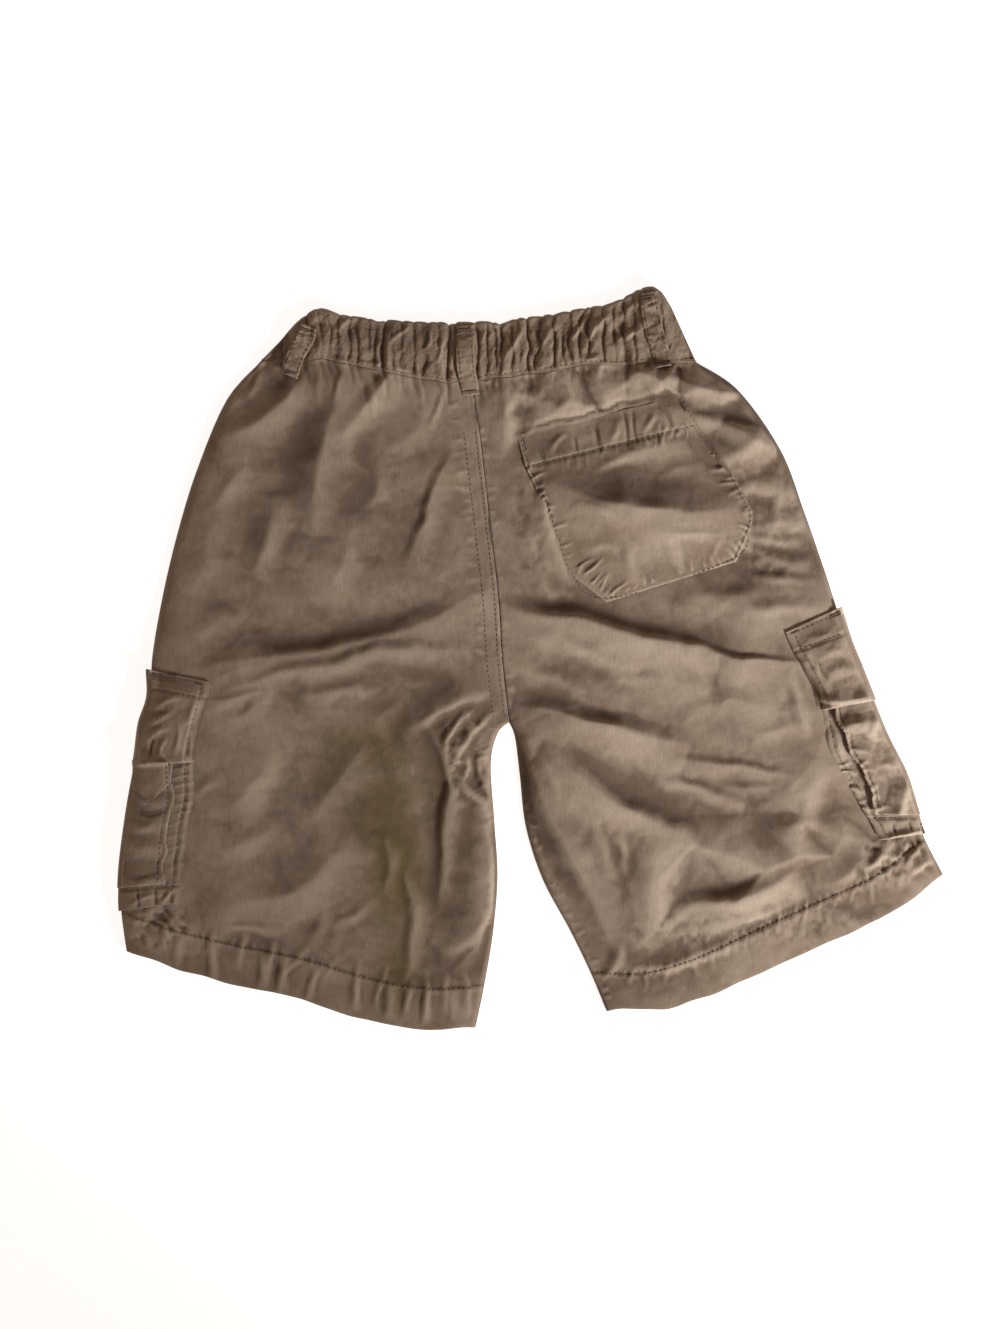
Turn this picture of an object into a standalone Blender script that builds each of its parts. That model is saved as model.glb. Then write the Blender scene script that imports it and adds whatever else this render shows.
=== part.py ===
"""Boy's cargo shorts, laid flat with the back uppermost.

The front panels lie on the surface, the back panels lie on them, and the pockets, waistband and belt loops
lie on the panels. X runs across the back, Y runs up to the waist and Z is up from the surface. The origin
is on the surface, under the middle of the shorts. Tables and sizes are in millimetres.
"""

import math
from collections import namedtuple

import bmesh
import bpy
import numpy as np
from mathutils import Vector
from mathutils.bvhtree import BVHTree

MM = 0.001

# Cloth and seams
CLOTH = 1.2  # wall of the front and back panels
POCKET_CLOTH = 1.0  # wall of the pockets, flaps and gussets
GAP = 0.3  # between two pieces at a seam, and between two layers
HEM_RISE = 0.7  # a turned hem stands this much proud of the single cloth

# Waistband
BAND_WALL = 2.2  # two layers of cloth with the elastic between them
GATHERS = 40  # folds drawn up by the elastic across the back
GATHER_RISE = 1.5
STEPS_PER_GATHER = 4

# Belt loops
LOOP_WIDTH = 12.0
LOOP_WALL = 1.6

# Centre-back seam: felled flat towards the left, so a band beside it is two layers thicker
SEAM_WIDTH = 12.0
SEAM_RISE = 0.7
STEP = 1.0  # a raised band's edge rises over this distance

# Panels: how many strips each is divided into across the leg, and rows for each section down it
PANEL_STRIPS = 20
ROWS_PER_SECTION = 2.5

# Side pockets
UNDER_REACH = 55.0  # how far each side pocket reaches under the front panel
UNDER_LIFT = 2 * (POCKET_CLOTH + GAP)  # the pocket and its flap raise the front panel by this much
LIFT_FLAT, LIFT_END = 42.0, 75.0  # the raised area around a pocket is level, then ramps down, in this radius

# Loft of the back panels over the front ones
LOFT = 3.6
SIDE_ROUNDING = 9.0  # the cloth rises to its loft over about this distance from a side fold

Section = namedtuple("Section", "place outer_x outer_y inner_x inner_y")
EdgeRow = namedtuple("EdgeRow", "share left_waist right_waist left_hem right_hem")
Band = namedtuple("Band", "place low_share top_x top_y")
Fold = namedtuple("Fold", "place rise upper_side lower_side path")
PatchRow = namedtuple("PatchRow", "place left_x left_y right_x right_y")
SideRow = namedtuple("SideRow", "place side_x side_y rear_x rear_y inset")
Loop = namedtuple("Loop", "name top_x top_y end_x end_y")

# Lines across each leg, from the side fold to the centre seam, or to the inseam below the crotch.
SEAT_SEAM = [(-9, 183), (-7, 150), (-6, 117), (-5, 80), (-4, 40), (-5, 0), (-4, -41)]
LEFT_SIDE = [(-145, 207), (-169, 184), (-192, 141), (-209, 99), (-223, 56), (-232, 19), (-234, -4)]
RIGHT_SIDE = [(138, 182), (164, 161), (188, 120), (200, 78), (209, 42), (216, 9), (220, -9)]
SEAT_PLACES = ["waist seam", "hip", "upper seat", "seat", "lower seat", "thigh", "above crotch"]
LEFT_SECTIONS = [Section(p, *o, *i) for p, o, i in zip(SEAT_PLACES, LEFT_SIDE, SEAT_SEAM)] + [
    Section("below crotch", -241, -21, -12, -48),
    Section("top of inseam", -246, -43, -18, -67),
    Section("inseam", -255, -76, -19, -105),
    Section("lower inseam", -262, -107, -20, -140),
    Section("above hem", -265, -127, -26, -176),
    Section("hem stitching", -266, -142, -35, -211),
    Section("hem edge", -265, -168, -43, -238),
]
RIGHT_SECTIONS = [Section(p, *o, *i) for p, o, i in zip(SEAT_PLACES, RIGHT_SIDE, SEAT_SEAM)] + [
    Section("below crotch", 225, -25, -1, -51),
    Section("top of inseam", 231, -45, 0, -76),
    Section("inseam", 239, -71, 1, -110),
    Section("lower inseam", 249, -96, 9, -145),
    Section("above hem", 254, -118, 24, -180),
    Section("hem stitching", 259, -140, 35, -209),
    Section("hem edge", 269, -165, 43, -234),
]
CROTCH = SEAT_PLACES.index("above crotch")

# How far the waist seams and the hems stand above a straight line, at each share from side fold to inner edge.
EDGE_ROWS = [
    EdgeRow(0.00, 0, 0, 0, 0),
    EdgeRow(0.15, 3, 0, -4, -10),
    EdgeRow(0.30, 5, 2, -6, -12),
    EdgeRow(0.50, 2, 3, -6, -14),
    EdgeRow(0.70, -1, 1, -10, -16),
    EdgeRow(0.85, -3, 0, -8, -12),
    EdgeRow(1.00, 0, 0, 0, 0),
]
WAIST_SECTIONS, HEM_SECTIONS = 1.5, 3.0  # those curves fade out over this many sections

# The waistband's top edge, and how far along its bottom seam each point of it stands.
BAND_ROWS = [
    Band("left fold", 0.00, -131, 219),
    Band("left corner", 0.04, -118, 231),
    Band("left loop", 0.09, -104, 238),
    Band("left back", 0.19, -86, 232),
    Band("left middle", 0.33, -54, 226),
    Band("centre", 0.49, -9, 221),
    Band("right middle", 0.66, 36, 221),
    Band("right back", 0.80, 80, 225),
    Band("right loop", 0.92, 108, 233),
    Band("right corner", 0.97, 118, 231),
    Band("right fold", 1.00, 125, 219),
]

# The largest folds of the back: a ridge along the path, whose two sides slope down over their own widths.
# The upper side is the one on the left of the path.
FOLDS = [
    Fold("across left seat", 4.5, 11, 16, [(-222, 8), (-180, 9), (-140, 9), (-100, 14), (-60, 26), (-10, 41)]),
    Fold("left hip", 4.0, 13, 16, [(-182, 154), (-160, 165), (-130, 185), (-108, 202)]),
    Fold("below left waist", 5.0, 20, 10, [(-118, 100), (-113, 125), (-111, 152), (-98, 182), (-86, 200)]),
    Fold("left seat", 3.0, 15, 22, [(-150, 68), (-146, 95), (-149, 120)]),
    Fold("left thigh", 3.0, 18, 22, [(-188, -88), (-165, -60), (-143, -28)]),
    Fold("left mid thigh", 3.5, 16, 22, [(-142, -100), (-120, -75), (-96, -46)]),
    Fold("above left hem", 5.0, 22, 24, [(-208, -144), (-170, -141), (-138, -134), (-98, -104)]),
    Fold("left inseam", 4.0, 12, 16, [(-56, -158), (-53, -120), (-49, -78), (-54, -46)]),
    Fold("left hem corner", 4.0, 22, 16, [(-62, -184), (-42, -173), (-27, -160)]),
    Fold("under waistband", 3.5, 10, 10, [(96, 177), (125, 169), (152, 160)]),
    Fold("right hip", 4.0, 11, 15, [(136, 148), (155, 140), (175, 131), (188, 122)]),
    Fold("across seat pocket", 7.0, 20, 34, [(36, 112), (65, 100), (95, 89), (130, 85), (160, 80)]),
    Fold("under seat pocket", 6.0, 14, 26, [(4, 27), (45, 25), (70, 17), (100, 5), (140, -3), (184, -13)]),
    Fold("right thigh", 4.0, 12, 18, [(2, -36), (35, -42), (60, -52), (85, -66), (112, -78)]),
    Fold("right long fold", 6.5, 18, 20, [(26, -72), (60, -95), (85, -113), (108, -130), (132, -143), (154, -151)]),
    Fold("right fold end", 4.0, 14, 14, [(148, -150), (175, -141), (206, -128)]),
    Fold("above right hem", 3.5, 10, 13, [(88, -171), (120, -170), (150, -166), (176, -154)]),
    Fold("right inseam", 4.0, 16, 26, [(60, -192), (45, -165), (32, -138), (18, -104)]),
]

SEAT_POCKET = [
    PatchRow("mouth", 17, 145, 127, 161),
    PatchRow("hem stitching", 21, 123, 137, 141),
    PatchRow("upper", 30, 99, 153, 112),
    PatchRow("middle", 37, 72, 166, 82),
    PatchRow("corner", 42, 53, 164, 71),
    PatchRow("bottom", 66, 31, 152, 50),
]
POCKET_FULLNESS = 2.2

# Side pockets: the side fold, the line where the gusset is sewn to the back, and how far in the face begins.
LEFT_SIDE_POCKET = [
    SideRow("flap top", -233, 13, -195, 2, 10),
    SideRow("flap stitching", -237, 1, -197, -9, 10),
    SideRow("flap", -245, -22, -204, -28, 11),
    SideRow("flap edge", -251, -46, -210, -49, 13),
    SideRow("upper", -256, -70, -212, -70, 13),
    SideRow("middle", -262, -97, -218, -93, 13),
    SideRow("lower", -267, -126, -225, -126, 11),
    SideRow("bottom", -268, -141, -227, -139, 11),
]
RIGHT_SIDE_POCKET = [
    SideRow("flap top", 215, 14, 180, 1, 8),
    SideRow("flap stitching", 220, -2, 184, -12, 8),
    SideRow("flap", 226, -24, 192, -30, 8),
    SideRow("flap edge", 234, -47, 198, -50, 8),
    SideRow("upper", 243, -73, 200, -78, 13),
    SideRow("middle", 250, -96, 209, -97, 13),
    SideRow("lower", 257, -124, 222, -122, 7),
    SideRow("bottom", 261, -136, 229, -139, 6),
]
SIDE_PLACES = [row.place for row in LEFT_SIDE_POCKET]
UNDER_POCKETS = {"left": ((-212, -18), (-236, -116)), "right": ((197, -20), (229, -118))}
TAB = [PatchRow("root", -250, -44, -226, -47), PatchRow("shoulder", -251, -62, -227, -62),
       PatchRow("point", -242, -71, -238, -71)]

BELT_LOOPS = [
    Loop("belt_loop_left", -112, 232, -128, 196),
    Loop("belt_loop_centre", -11, 219, -11, 173),
    Loop("belt_loop_right", 110, 230, 115, 180),
]


def smooth_rows(table, at):
    """Values of a table's rows at the fractional row numbers in at, on a Catmull-Rom curve through the rows."""
    table = np.asarray(table, float)
    at = np.clip(np.asarray(at, float), 0, len(table) - 1)
    i = np.minimum(at.astype(int), len(table) - 2)
    t = (at - i)[:, None]
    before, after = np.maximum(i - 1, 0), np.minimum(i + 2, len(table) - 1)
    p0, p1, p2, p3 = table[before], table[i], table[i + 1], table[after]
    return 0.5 * (
        2 * p1 + (p2 - p0) * t + (2 * p0 - 5 * p1 + 4 * p2 - p3) * t**2 + (3 * p1 - p0 - 3 * p2 + p3) * t**3
    )


def smoothstep(low, high, value):
    t = np.clip((value - low) / (high - low), 0, 1)
    return t * t * (3 - 2 * t)


def nearest_on(path, points):
    """For each point, the distance to the path, the side it is on (1 left, -1 right) and the share along it."""
    path = np.asarray(path, float)
    best = np.full(len(points), np.inf)
    side, along = np.ones(len(points)), np.zeros(len(points))
    lengths = np.linalg.norm(np.diff(path, axis=0), axis=1)
    starts = np.concatenate([[0], np.cumsum(lengths)])
    for k, length in enumerate(lengths):
        run = path[k + 1] - path[k]
        off = points - path[k]
        t = np.clip(off @ run / length**2, 0, 1)
        gap = off - t[:, None] * run
        distance = np.linalg.norm(gap, axis=1)
        closer = distance < best
        best[closer] = distance[closer]
        side[closer] = np.sign(run[0] * off[closer, 1] - run[1] * off[closer, 0])
        along[closer] = (starts[k] + t[closer] * length) / starts[-1]
    return best, side, along


def fold_height(folds, points):
    """Height of the folds over the loft: each is a cosine ridge that fades out at both ends of its path."""
    height = np.zeros(len(points))
    for fold in folds:
        curve = smooth_rows(fold.path, np.linspace(0, len(fold.path) - 1, 5 * len(fold.path)))
        distance, side, along = nearest_on(curve, points)
        width = np.where(side > 0, fold.upper_side, fold.lower_side)
        ridge = 0.5 + 0.5 * np.cos(np.pi * np.minimum(distance / width, 1))
        fade = smoothstep(0, 0.15, along) * smoothstep(0, 0.15, 1 - along)
        height += fold.rise * ridge * (0.25 + 0.75 * fade)
    return height


def panel_ends(sections, rows):
    """Both ends of each line across a leg. The inner one turns a corner at the crotch, from seam to inseam."""
    table = np.array([s[1:] for s in sections], float)
    outer = smooth_rows(table[:, :2], rows)
    seam = smooth_rows(table[: CROTCH + 1, 2:], rows)
    inseam = smooth_rows(table[CROTCH:, 2:], rows - CROTCH)
    return np.concatenate([outer, np.where(rows[:, None] <= CROTCH, seam, inseam)], axis=1)


def side_lines():
    """The lines where the cloth folds over or is seamed at its edge: both side folds and both inseams."""
    lines = []
    for sections in (LEFT_SECTIONS, RIGHT_SECTIONS):
        ends = panel_ends(sections, np.linspace(0, len(sections) - 1, 60))
        legs = panel_ends(sections, np.linspace(CROTCH, len(sections) - 1, 30))
        lines += [ends[:, :2], legs[:, 2:]]
    return lines


def under_lift(points):
    """How far the side pockets beneath raise the front panel."""
    lift = np.zeros(len(points))
    for ends in UNDER_POCKETS.values():
        distance = nearest_on(ends, points)[0]
        lift = np.maximum(lift, UNDER_LIFT * (1 - smoothstep(LIFT_FLAT, LIFT_END, distance)))
    return lift


def back_rise(points):
    """How far the back panel stands off the front one, from its loft and its folds."""
    edge = np.min([nearest_on(line, points)[0] for line in side_lines()], axis=0)
    loft = LOFT * (1 - np.exp(-edge / SIDE_ROUNDING))
    return loft + fold_height(FOLDS, points) * smoothstep(0, SIDE_ROUNDING, edge)


def panel_plan(side):
    """The panel's points in plan, from the waist seam to the hem and from the side fold inwards.

    With them go the rows that are in the hem, and those beside the seat seam.
    """
    sections = {"left": LEFT_SECTIONS, "right": RIGHT_SECTIONS}[side]
    stitching = len(sections) - 2
    even_rows = np.linspace(0, stitching, int(ROWS_PER_SECTION * stitching) + 1)
    rows = np.concatenate([even_rows, stitching + np.array([0.06, 0.5, 1.0])])
    ends = panel_ends(sections, rows)
    ends[:, 2] += GAP / 2 if side == "right" else -GAP / 2
    width = np.linalg.norm(ends[:, 2:] - ends[:, :2], axis=1)[:, None]
    to_seam = 1 - (SEAM_WIDTH + STEP) / width
    across = np.concatenate([np.linspace(0, 1, PANEL_STRIPS - 1) * to_seam, 1 - SEAM_WIDTH / width, np.ones_like(width)],
                            axis=1)
    plan = ends[:, None, :2] * (1 - across)[:, :, None] + ends[:, None, 2:] * across[:, :, None]
    edges = np.array([(row.left_waist, row.right_waist, row.left_hem, row.right_hem) for row in EDGE_ROWS], float)
    at = np.interp(across, [row.share for row in EDGE_ROWS], np.arange(len(EDGE_ROWS)))
    rises = smooth_rows(edges, at.ravel()).reshape(*across.shape, 4)
    waist, hem = (0, 2) if side == "left" else (1, 3)
    plan[:, :, 1] += rises[:, :, waist] * (1 - smoothstep(0, WAIST_SECTIONS, rows))[:, None]
    plan[:, :, 1] += rises[:, :, hem] * smoothstep(stitching - HEM_SECTIONS, stitching, rows)[:, None]
    return plan, rows > stitching + 0.05, rows <= CROTCH


def with_height(plan, height):
    return np.concatenate([plan, height.reshape(plan.shape[:2])[:, :, None]], axis=2)


def material(name, colour, roughness):
    made = bpy.data.materials.new(name)
    made.use_nodes = True
    shader = made.node_tree.nodes["Principled BSDF"]
    shader.inputs["Base Color"].default_value = (*colour, 1)
    shader.inputs["Roughness"].default_value = roughness
    shader.inputs["Metallic"].default_value = 0.0
    return made


def wall(name, inner, outer, cloth, cells=None):
    """One closed piece of cloth between two grids of points, over the grid's cells that are True."""
    rows, columns = inner.shape[:2]
    if cells is None:
        cells = np.ones((rows - 1, columns - 1), bool)
    # The two grids run the same way round. Seen from outside, the outer faces turn anticlockwise.
    a, b, c = outer[0, 0], outer[0, 1], outer[1, 0]
    towards = outer[0, 0] - inner[0, 0]
    turned = np.dot(np.cross(b - a, c - a), towards) < 0
    made = bmesh.new()
    points = {}

    def corner(layer, i, j):
        key = (layer, i, j)
        if key not in points:
            grid = outer if layer else inner
            points[key] = made.verts.new(Vector(grid[i, j] * MM))
        return points[key]

    def face(*corners):
        made.faces.new(corners[::-1] if turned else corners)

    def filled(i, j):
        return 0 <= i < rows - 1 and 0 <= j < columns - 1 and cells[i, j]

    for i in range(rows - 1):
        for j in range(columns - 1):
            if not cells[i, j]:
                continue
            ring = [(i, j), (i, j + 1), (i + 1, j + 1), (i + 1, j)]
            face(*[corner(1, *p) for p in ring])
            face(*[corner(0, *ring[k]) for k in (0, 3, 2, 1)])
            beyond = [(i - 1, j), (i, j + 1), (i + 1, j), (i, j - 1)]
            for k, neighbour in enumerate(beyond):
                if not filled(*neighbour):
                    p, q = ring[k], ring[(k + 1) % 4]
                    face(corner(0, *p), corner(0, *q), corner(1, *q), corner(1, *p))
    bmesh.ops.triangulate(made, faces=made.faces[:], quad_method="FIXED")
    mesh = bpy.data.meshes.new(name)
    made.to_mesh(mesh)
    made.free()
    mesh.shade_smooth()
    mesh.set_sharp_from_angle(angle=math.radians(40))
    mesh.materials.append(cloth)
    piece = bpy.data.objects.new(name, mesh)
    bpy.context.scene.collection.objects.link(piece)
    return piece


def surface_of(pieces):
    """A search tree over the pieces' faces, for laying another piece on them."""
    vertices, faces = [], []
    for piece in pieces:
        start = len(vertices)
        vertices += [v.co.copy() for v in piece.data.vertices]
        faces += [[start + i for i in p.vertices] for p in piece.data.polygons]
    return BVHTree.FromPolygons(vertices, faces)


def height_on(surface, points, otherwise=0.0):
    """Height of the topmost surface under each point, in millimetres."""
    heights = np.full(len(points), otherwise)
    for k, (x, y) in enumerate(points):
        hit = surface.ray_cast(Vector((x * MM, y * MM, 0.1)), Vector((0, 0, -1)))[0]
        if hit is not None:
            heights[k] = hit.z / MM
    return heights


def laid_on(surface, plan, clearance=GAP, rounds=4):
    """Heights for a grid so that all its faces, and not only their corners, clear the surface."""
    rows, columns = plan.shape[:2]
    height = height_on(surface, plan.reshape(-1, 2)).reshape(rows, columns) + clearance
    inside = [(s, t) for s in np.linspace(0, 1, 5) for t in np.linspace(0, 1, 5)]
    for _ in range(rounds):
        short = np.zeros_like(height)
        for s, t in inside:
            # Each cell is two triangles that meet on the diagonal from its first corner.
            shares = [(1 - max(s, t)), max(t - s, 0), min(s, t), max(s - t, 0)]
            corners = [np.s_[:-1, :-1], np.s_[:-1, 1:], np.s_[1:, 1:], np.s_[1:, :-1]]
            place = sum(w * plan[c] for w, c in zip(shares, corners))
            level = sum(w * height[c] for w, c in zip(shares, corners))
            below = height_on(surface, place.reshape(-1, 2)).reshape(rows - 1, columns - 1)
            missing = np.maximum(below + clearance - level, 0)
            for weight, c in zip(shares, corners):
                if weight > 0:
                    short[c] = np.maximum(short[c], missing)
        if short.max() < 0.01:
            break
        height += short
    return height


def panels(side, cloth):
    """The front panel on the surface and the back panel over it, on the same points in plan."""
    plan, in_hem, beside_seam = panel_plan(side)
    flat = plan.reshape(-1, 2)
    hem = np.repeat(in_hem, plan.shape[1]) * HEM_RISE
    under = under_lift(flat)
    front_top = under + CLOTH + hem
    front = wall(f"front_{side}", with_height(plan, front_top), with_height(plan, under), cloth)
    inside = front_top + GAP + back_rise(flat)
    thickness = np.full(plan.shape[:2], CLOTH) + hem.reshape(plan.shape[:2])
    if side == "left":
        thickness[beside_seam, -2:] += SEAM_RISE
    outside = inside + thickness.ravel()
    back = wall(f"back_{side}", with_height(plan, inside), with_height(plan, outside), cloth)
    return front, back, plan


def waistband(left, right, cloth):
    """The plain front band, and over it the back band with its gathers, along the seams of both panels."""
    seam = np.concatenate([left, right[::-1]])
    run = np.concatenate([[0], np.cumsum(np.linalg.norm(np.diff(seam, axis=0), axis=1))])
    share = np.linspace(0, 1, GATHERS * STEPS_PER_GATHER + 1)
    low = np.column_stack([np.interp(share, run / run[-1], seam[:, k]) for k in range(2)])
    stations = np.array([row.low_share for row in BAND_ROWS])
    at = np.interp(share, stations, np.arange(len(stations)))
    top = smooth_rows([(row.top_x, row.top_y) for row in BAND_ROWS], at)
    upwards = (top - low) / np.linalg.norm(top - low, axis=1)[:, None]
    low = low + upwards * GAP
    heights = np.array([0.0, 0.12, 0.5, 0.88, 1.0])
    plan = low[None] * (1 - heights)[:, None, None] + top[None] * heights[:, None, None]
    gather = gather_wave(share, heights)
    rounded = np.array([0.75, 1.0, 1.1, 1.0, 0.5])[:, None]
    levels = np.zeros(plan.shape[:2])
    wall("waistband_front", with_height(plan, levels + BAND_WALL)[:, ::4], with_height(plan, levels)[:, ::4], cloth)
    inside = levels + BAND_WALL + GAP
    return wall("waistband_back", with_height(plan, inside), with_height(plan, inside + BAND_WALL * rounded + gather), cloth)


def gather_wave(share, heights):
    """Height of the gathers: uneven waves along the band that lean a little, and are shallow at its edges."""
    lean = 0.004 * np.sin(2 * np.pi * 3 * share)[None] * heights[:, None]
    place = share[None] + lean
    phase = 2 * np.pi * (GATHERS * place + 0.35 * np.sin(2 * np.pi * 7 * place) + 0.25 * np.sin(2 * np.pi * 11 * place))
    depth = GATHER_RISE * (0.75 + 0.25 * np.sin(2 * np.pi * 5 * place + 1.0))
    envelope = np.array([0.8, 1.0, 0.8, 0.9, 0.5])[:, None] * np.minimum(1, 12 * np.minimum(share, 1 - share))[None]
    return depth * envelope * (0.5 + 0.5 * np.cos(phase))


def patch_plan(table, rows_between, columns):
    """Points of a patch in plan, each row between its left and right ends."""
    at = np.linspace(0, len(table) - 1, rows_between * (len(table) - 1) + 1)
    ends = np.array([row[1:] for row in table], float)
    ends = np.stack([np.interp(at, np.arange(len(table)), ends[:, k]) for k in range(4)], axis=1)
    across = np.linspace(0, 1, columns + 1)
    return ends[:, None, :2] * (1 - across)[None, :, None] + ends[:, None, 2:] * across[None, :, None], at


def seat_pocket(panel, cloth):
    """The patch pocket on the right seat: open at its hemmed mouth and full towards the bottom."""
    plan, at = patch_plan(SEAT_POCKET, 2, 12)
    inside = laid_on(surface_of([panel]), plan)
    depth, across = np.meshgrid(at / at[-1], np.linspace(0, 1, plan.shape[1]), indexing="ij")
    inside += POCKET_FULLNESS * np.sin(np.pi * across) * np.sin(np.pi * depth) ** 0.8
    hem = (at <= 1.0)[:, None] * HEM_RISE
    return wall("seat_pocket", with_height(plan, inside), with_height(plan, inside + POCKET_CLOTH + hem), cloth)


def side_pocket_grid(side, panel, panel_edge):
    """The grid that a side pocket's pieces share, as points and outward directions.

    Its columns run from the sewn line on the back to the side fold, round the fold and in under the front.
    """
    table = {"left": LEFT_SIDE_POCKET, "right": RIGHT_SIDE_POCKET}[side]
    stations = np.arange(len(table) - 1)
    lower = SIDE_PLACES.index("lower")
    at = np.sort(np.concatenate([stations, stations + 0.5, [lower + 0.04, len(table) - 1]]))
    rows = smooth_rows([row[1:] for row in table], at)
    side_fold = np.array([on_line(panel_edge, point) for point in rows[:, :2]])
    rear, inset = rows[:, 2:4], rows[:, 4]
    width = np.linalg.norm(rear - side_fold, axis=1)
    inwards = (rear - side_fold) / width[:, None]
    from_fold = [width, width - inset / 2, width - inset]
    face_width = width - inset - 2.0
    from_fold += [2.0 + face_width * share for share in (0.75, 0.5, 0.25, 0.0)]
    on_back = np.stack([side_fold + inwards * d[:, None] for d in from_fold], axis=1)
    top = laid_on(surface_of([panel]), on_back)
    points = [with_height(on_back, top)]
    outward = [np.broadcast_to([0.0, 0.0, 1.0], points[0].shape)]
    floor_side = UNDER_LIFT - GAP
    fold_top, clear = top[:, -1], 0.4
    for reach, level, lean, up in ((clear, fold_top, 1.0, 0.8), (1.6, (fold_top + floor_side) / 2, 1.0, 0.0),
                                   (clear, np.full(len(at), floor_side), 1.0, -0.8)):
        point = np.column_stack([side_fold - inwards * reach, level])
        points.append(point[:, None])
        outward.append(np.column_stack([-inwards * lean, np.full(len(at), up)])[:, None])
    for reach in (2.0, 20.0, 38.0, UNDER_REACH):
        point = np.column_stack([side_fold + inwards * reach, np.full(len(at), floor_side)])
        points.append(point[:, None])
        outward.append(np.broadcast_to([0.0, 0.0, -1.0], points[-1].shape))
    return at, np.concatenate(points, axis=1), np.concatenate(outward, axis=1)


def on_line(line, point):
    """The point of a line of straight runs that is nearest to the given point."""
    best, found = np.inf, None
    for a, b in zip(line[:-1], line[1:]):
        t = np.clip((point - a) @ (b - a) / ((b - a) @ (b - a)), 0, 1)
        near = a + t * (b - a)
        if np.linalg.norm(point - near) < best:
            best, found = np.linalg.norm(point - near), near
    return found


def side_pocket(side, panel, panel_edge, cloth):
    """A bellows pocket folded round the leg: its gusset, its face over that, and the flap over the face."""
    at, points, outward = side_pocket_grid(side, panel, panel_edge)
    rows, columns = points.shape[0] - 1, points.shape[1] - 1
    middle = (at[:-1] + at[1:]) / 2
    lower, flap_edge = SIDE_PLACES.index("lower"), SIDE_PLACES.index("flap edge")
    column = np.arange(columns)[None, :]
    beside_face, back_columns, fold_column = 2, 6, 9
    above_band = (middle < lower)[:, None]
    below_band = (middle > lower + 0.04)[:, None]
    gusset_cells = (above_band & (column < beside_face + 1)) | (below_band & (column >= 0)) | (
        (~above_band & ~below_band) & (column < beside_face + 1))
    face_cells = above_band & (column >= beside_face)
    flap_cells = (middle < flap_edge)[:, None] & (column >= 0)
    # Level with the panel on the back, and one layer lower where there is no gusset, under the front.
    under = np.clip((np.arange(columns + 1) - back_columns) / (fold_column - back_columns), 0, 1)[None, :, None]
    layer = POCKET_CLOTH + GAP
    fullness = side_fullness(at, columns)
    pieces = {}
    for name, level, cells, full in (("gusset", 0, gusset_cells, 0.0), ("face", 1, face_cells, 1.0),
                                     ("flap", 2, flap_cells, 1.0)):
        start = layer * level - (layer * under if level else 0) + full * fullness[:, :, None]
        inner = points + outward * start
        outer = points + outward * (start + POCKET_CLOTH)
        pieces[name] = wall(f"side_pocket_{name}_{side}", inner, outer, cloth, cells)
    return pieces


def side_fullness(at, columns):
    """How far a side pocket's face stands out on the back, most in the middle of its height."""
    down = np.sin(np.pi * at / at[-1])
    across = np.zeros(columns + 1)
    across[3:6] = (0.6, 1.0, 0.7)
    return 1.6 * down[:, None] * across[None, :]


def flap_tab(flap, face, cloth):
    """The pointed tab that hangs from the left flap's edge over the pocket's face."""
    plan, _ = patch_plan(TAB, 2, 3)
    inside = laid_on(surface_of([flap, face]), plan)
    return wall("side_pocket_tab_left", with_height(plan, inside), with_height(plan, inside + POCKET_CLOTH), cloth)


def belt_loop(loop, under, cloth):
    """A belt loop: a folded strip that crosses the waistband and is tacked down at both ends."""
    start, end = np.array([loop.top_x, loop.top_y], float), np.array([loop.end_x, loop.end_y], float)
    along = (end - start) / np.linalg.norm(end - start)
    across = np.array([-along[1], along[0]])
    share = np.linspace(0, 1, 9)
    offsets = np.linspace(-LOOP_WIDTH / 2, LOOP_WIDTH / 2, 4)
    plan = (start + (end - start) * share[:, None])[:, None] + (across * offsets[:, None])[None]
    inside = laid_on(surface_of(under), plan)
    level = inside.max(axis=1)
    smooth = np.maximum(level, np.convolve(np.pad(level, 1, mode="edge"), [0.25, 0.5, 0.25], "valid"))
    inside = np.repeat((smooth + 0.8 * np.sin(np.pi * share))[:, None], len(offsets), axis=1)
    return wall(loop.name, with_height(plan, inside), with_height(plan, inside + LOOP_WALL), cloth)


def main():
    for old in list(bpy.data.objects):
        bpy.data.objects.remove(old, do_unlink=True)
    twill = material("khaki_twill", (0.235, 0.170, 0.122), 0.85)
    trim = material("khaki_twill_trim", (0.215, 0.155, 0.110), 0.85)
    backs, plans = {}, {}
    for side in ("left", "right"):
        _, backs[side], plans[side] = panels(side, twill)
    band = waistband(plans["left"][0], plans["right"][0], trim)
    seat_pocket(backs["right"], twill)
    for side in ("left", "right"):
        pieces = side_pocket(side, backs[side], plans[side][:, 0], twill)
        if side == "left":
            flap_tab(pieces["flap"], pieces["face"], trim)
    for loop in BELT_LOOPS:
        belt_loop(loop, [band, *backs.values()], trim)


main()
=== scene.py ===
# %% [markdown]
# # Boy's cargo shorts in washed cotton twill
#
# The shorts lie flat on a table, back uppermost, as they would be laid out for sale. Everything here is
# cloth: two front panels under two back panels, a gathered waistband, a patch pocket and two bellows
# pockets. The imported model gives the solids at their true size. This lesson dresses each of them in a thin
# sheet of cloth with its creases, puckers and stitches.

import math
from collections import namedtuple

import bpy
import numpy as np
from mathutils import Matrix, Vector
from mathutils.bvhtree import BVHTree
from mathutils.geometry import delaunay_2d_cdt


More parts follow.
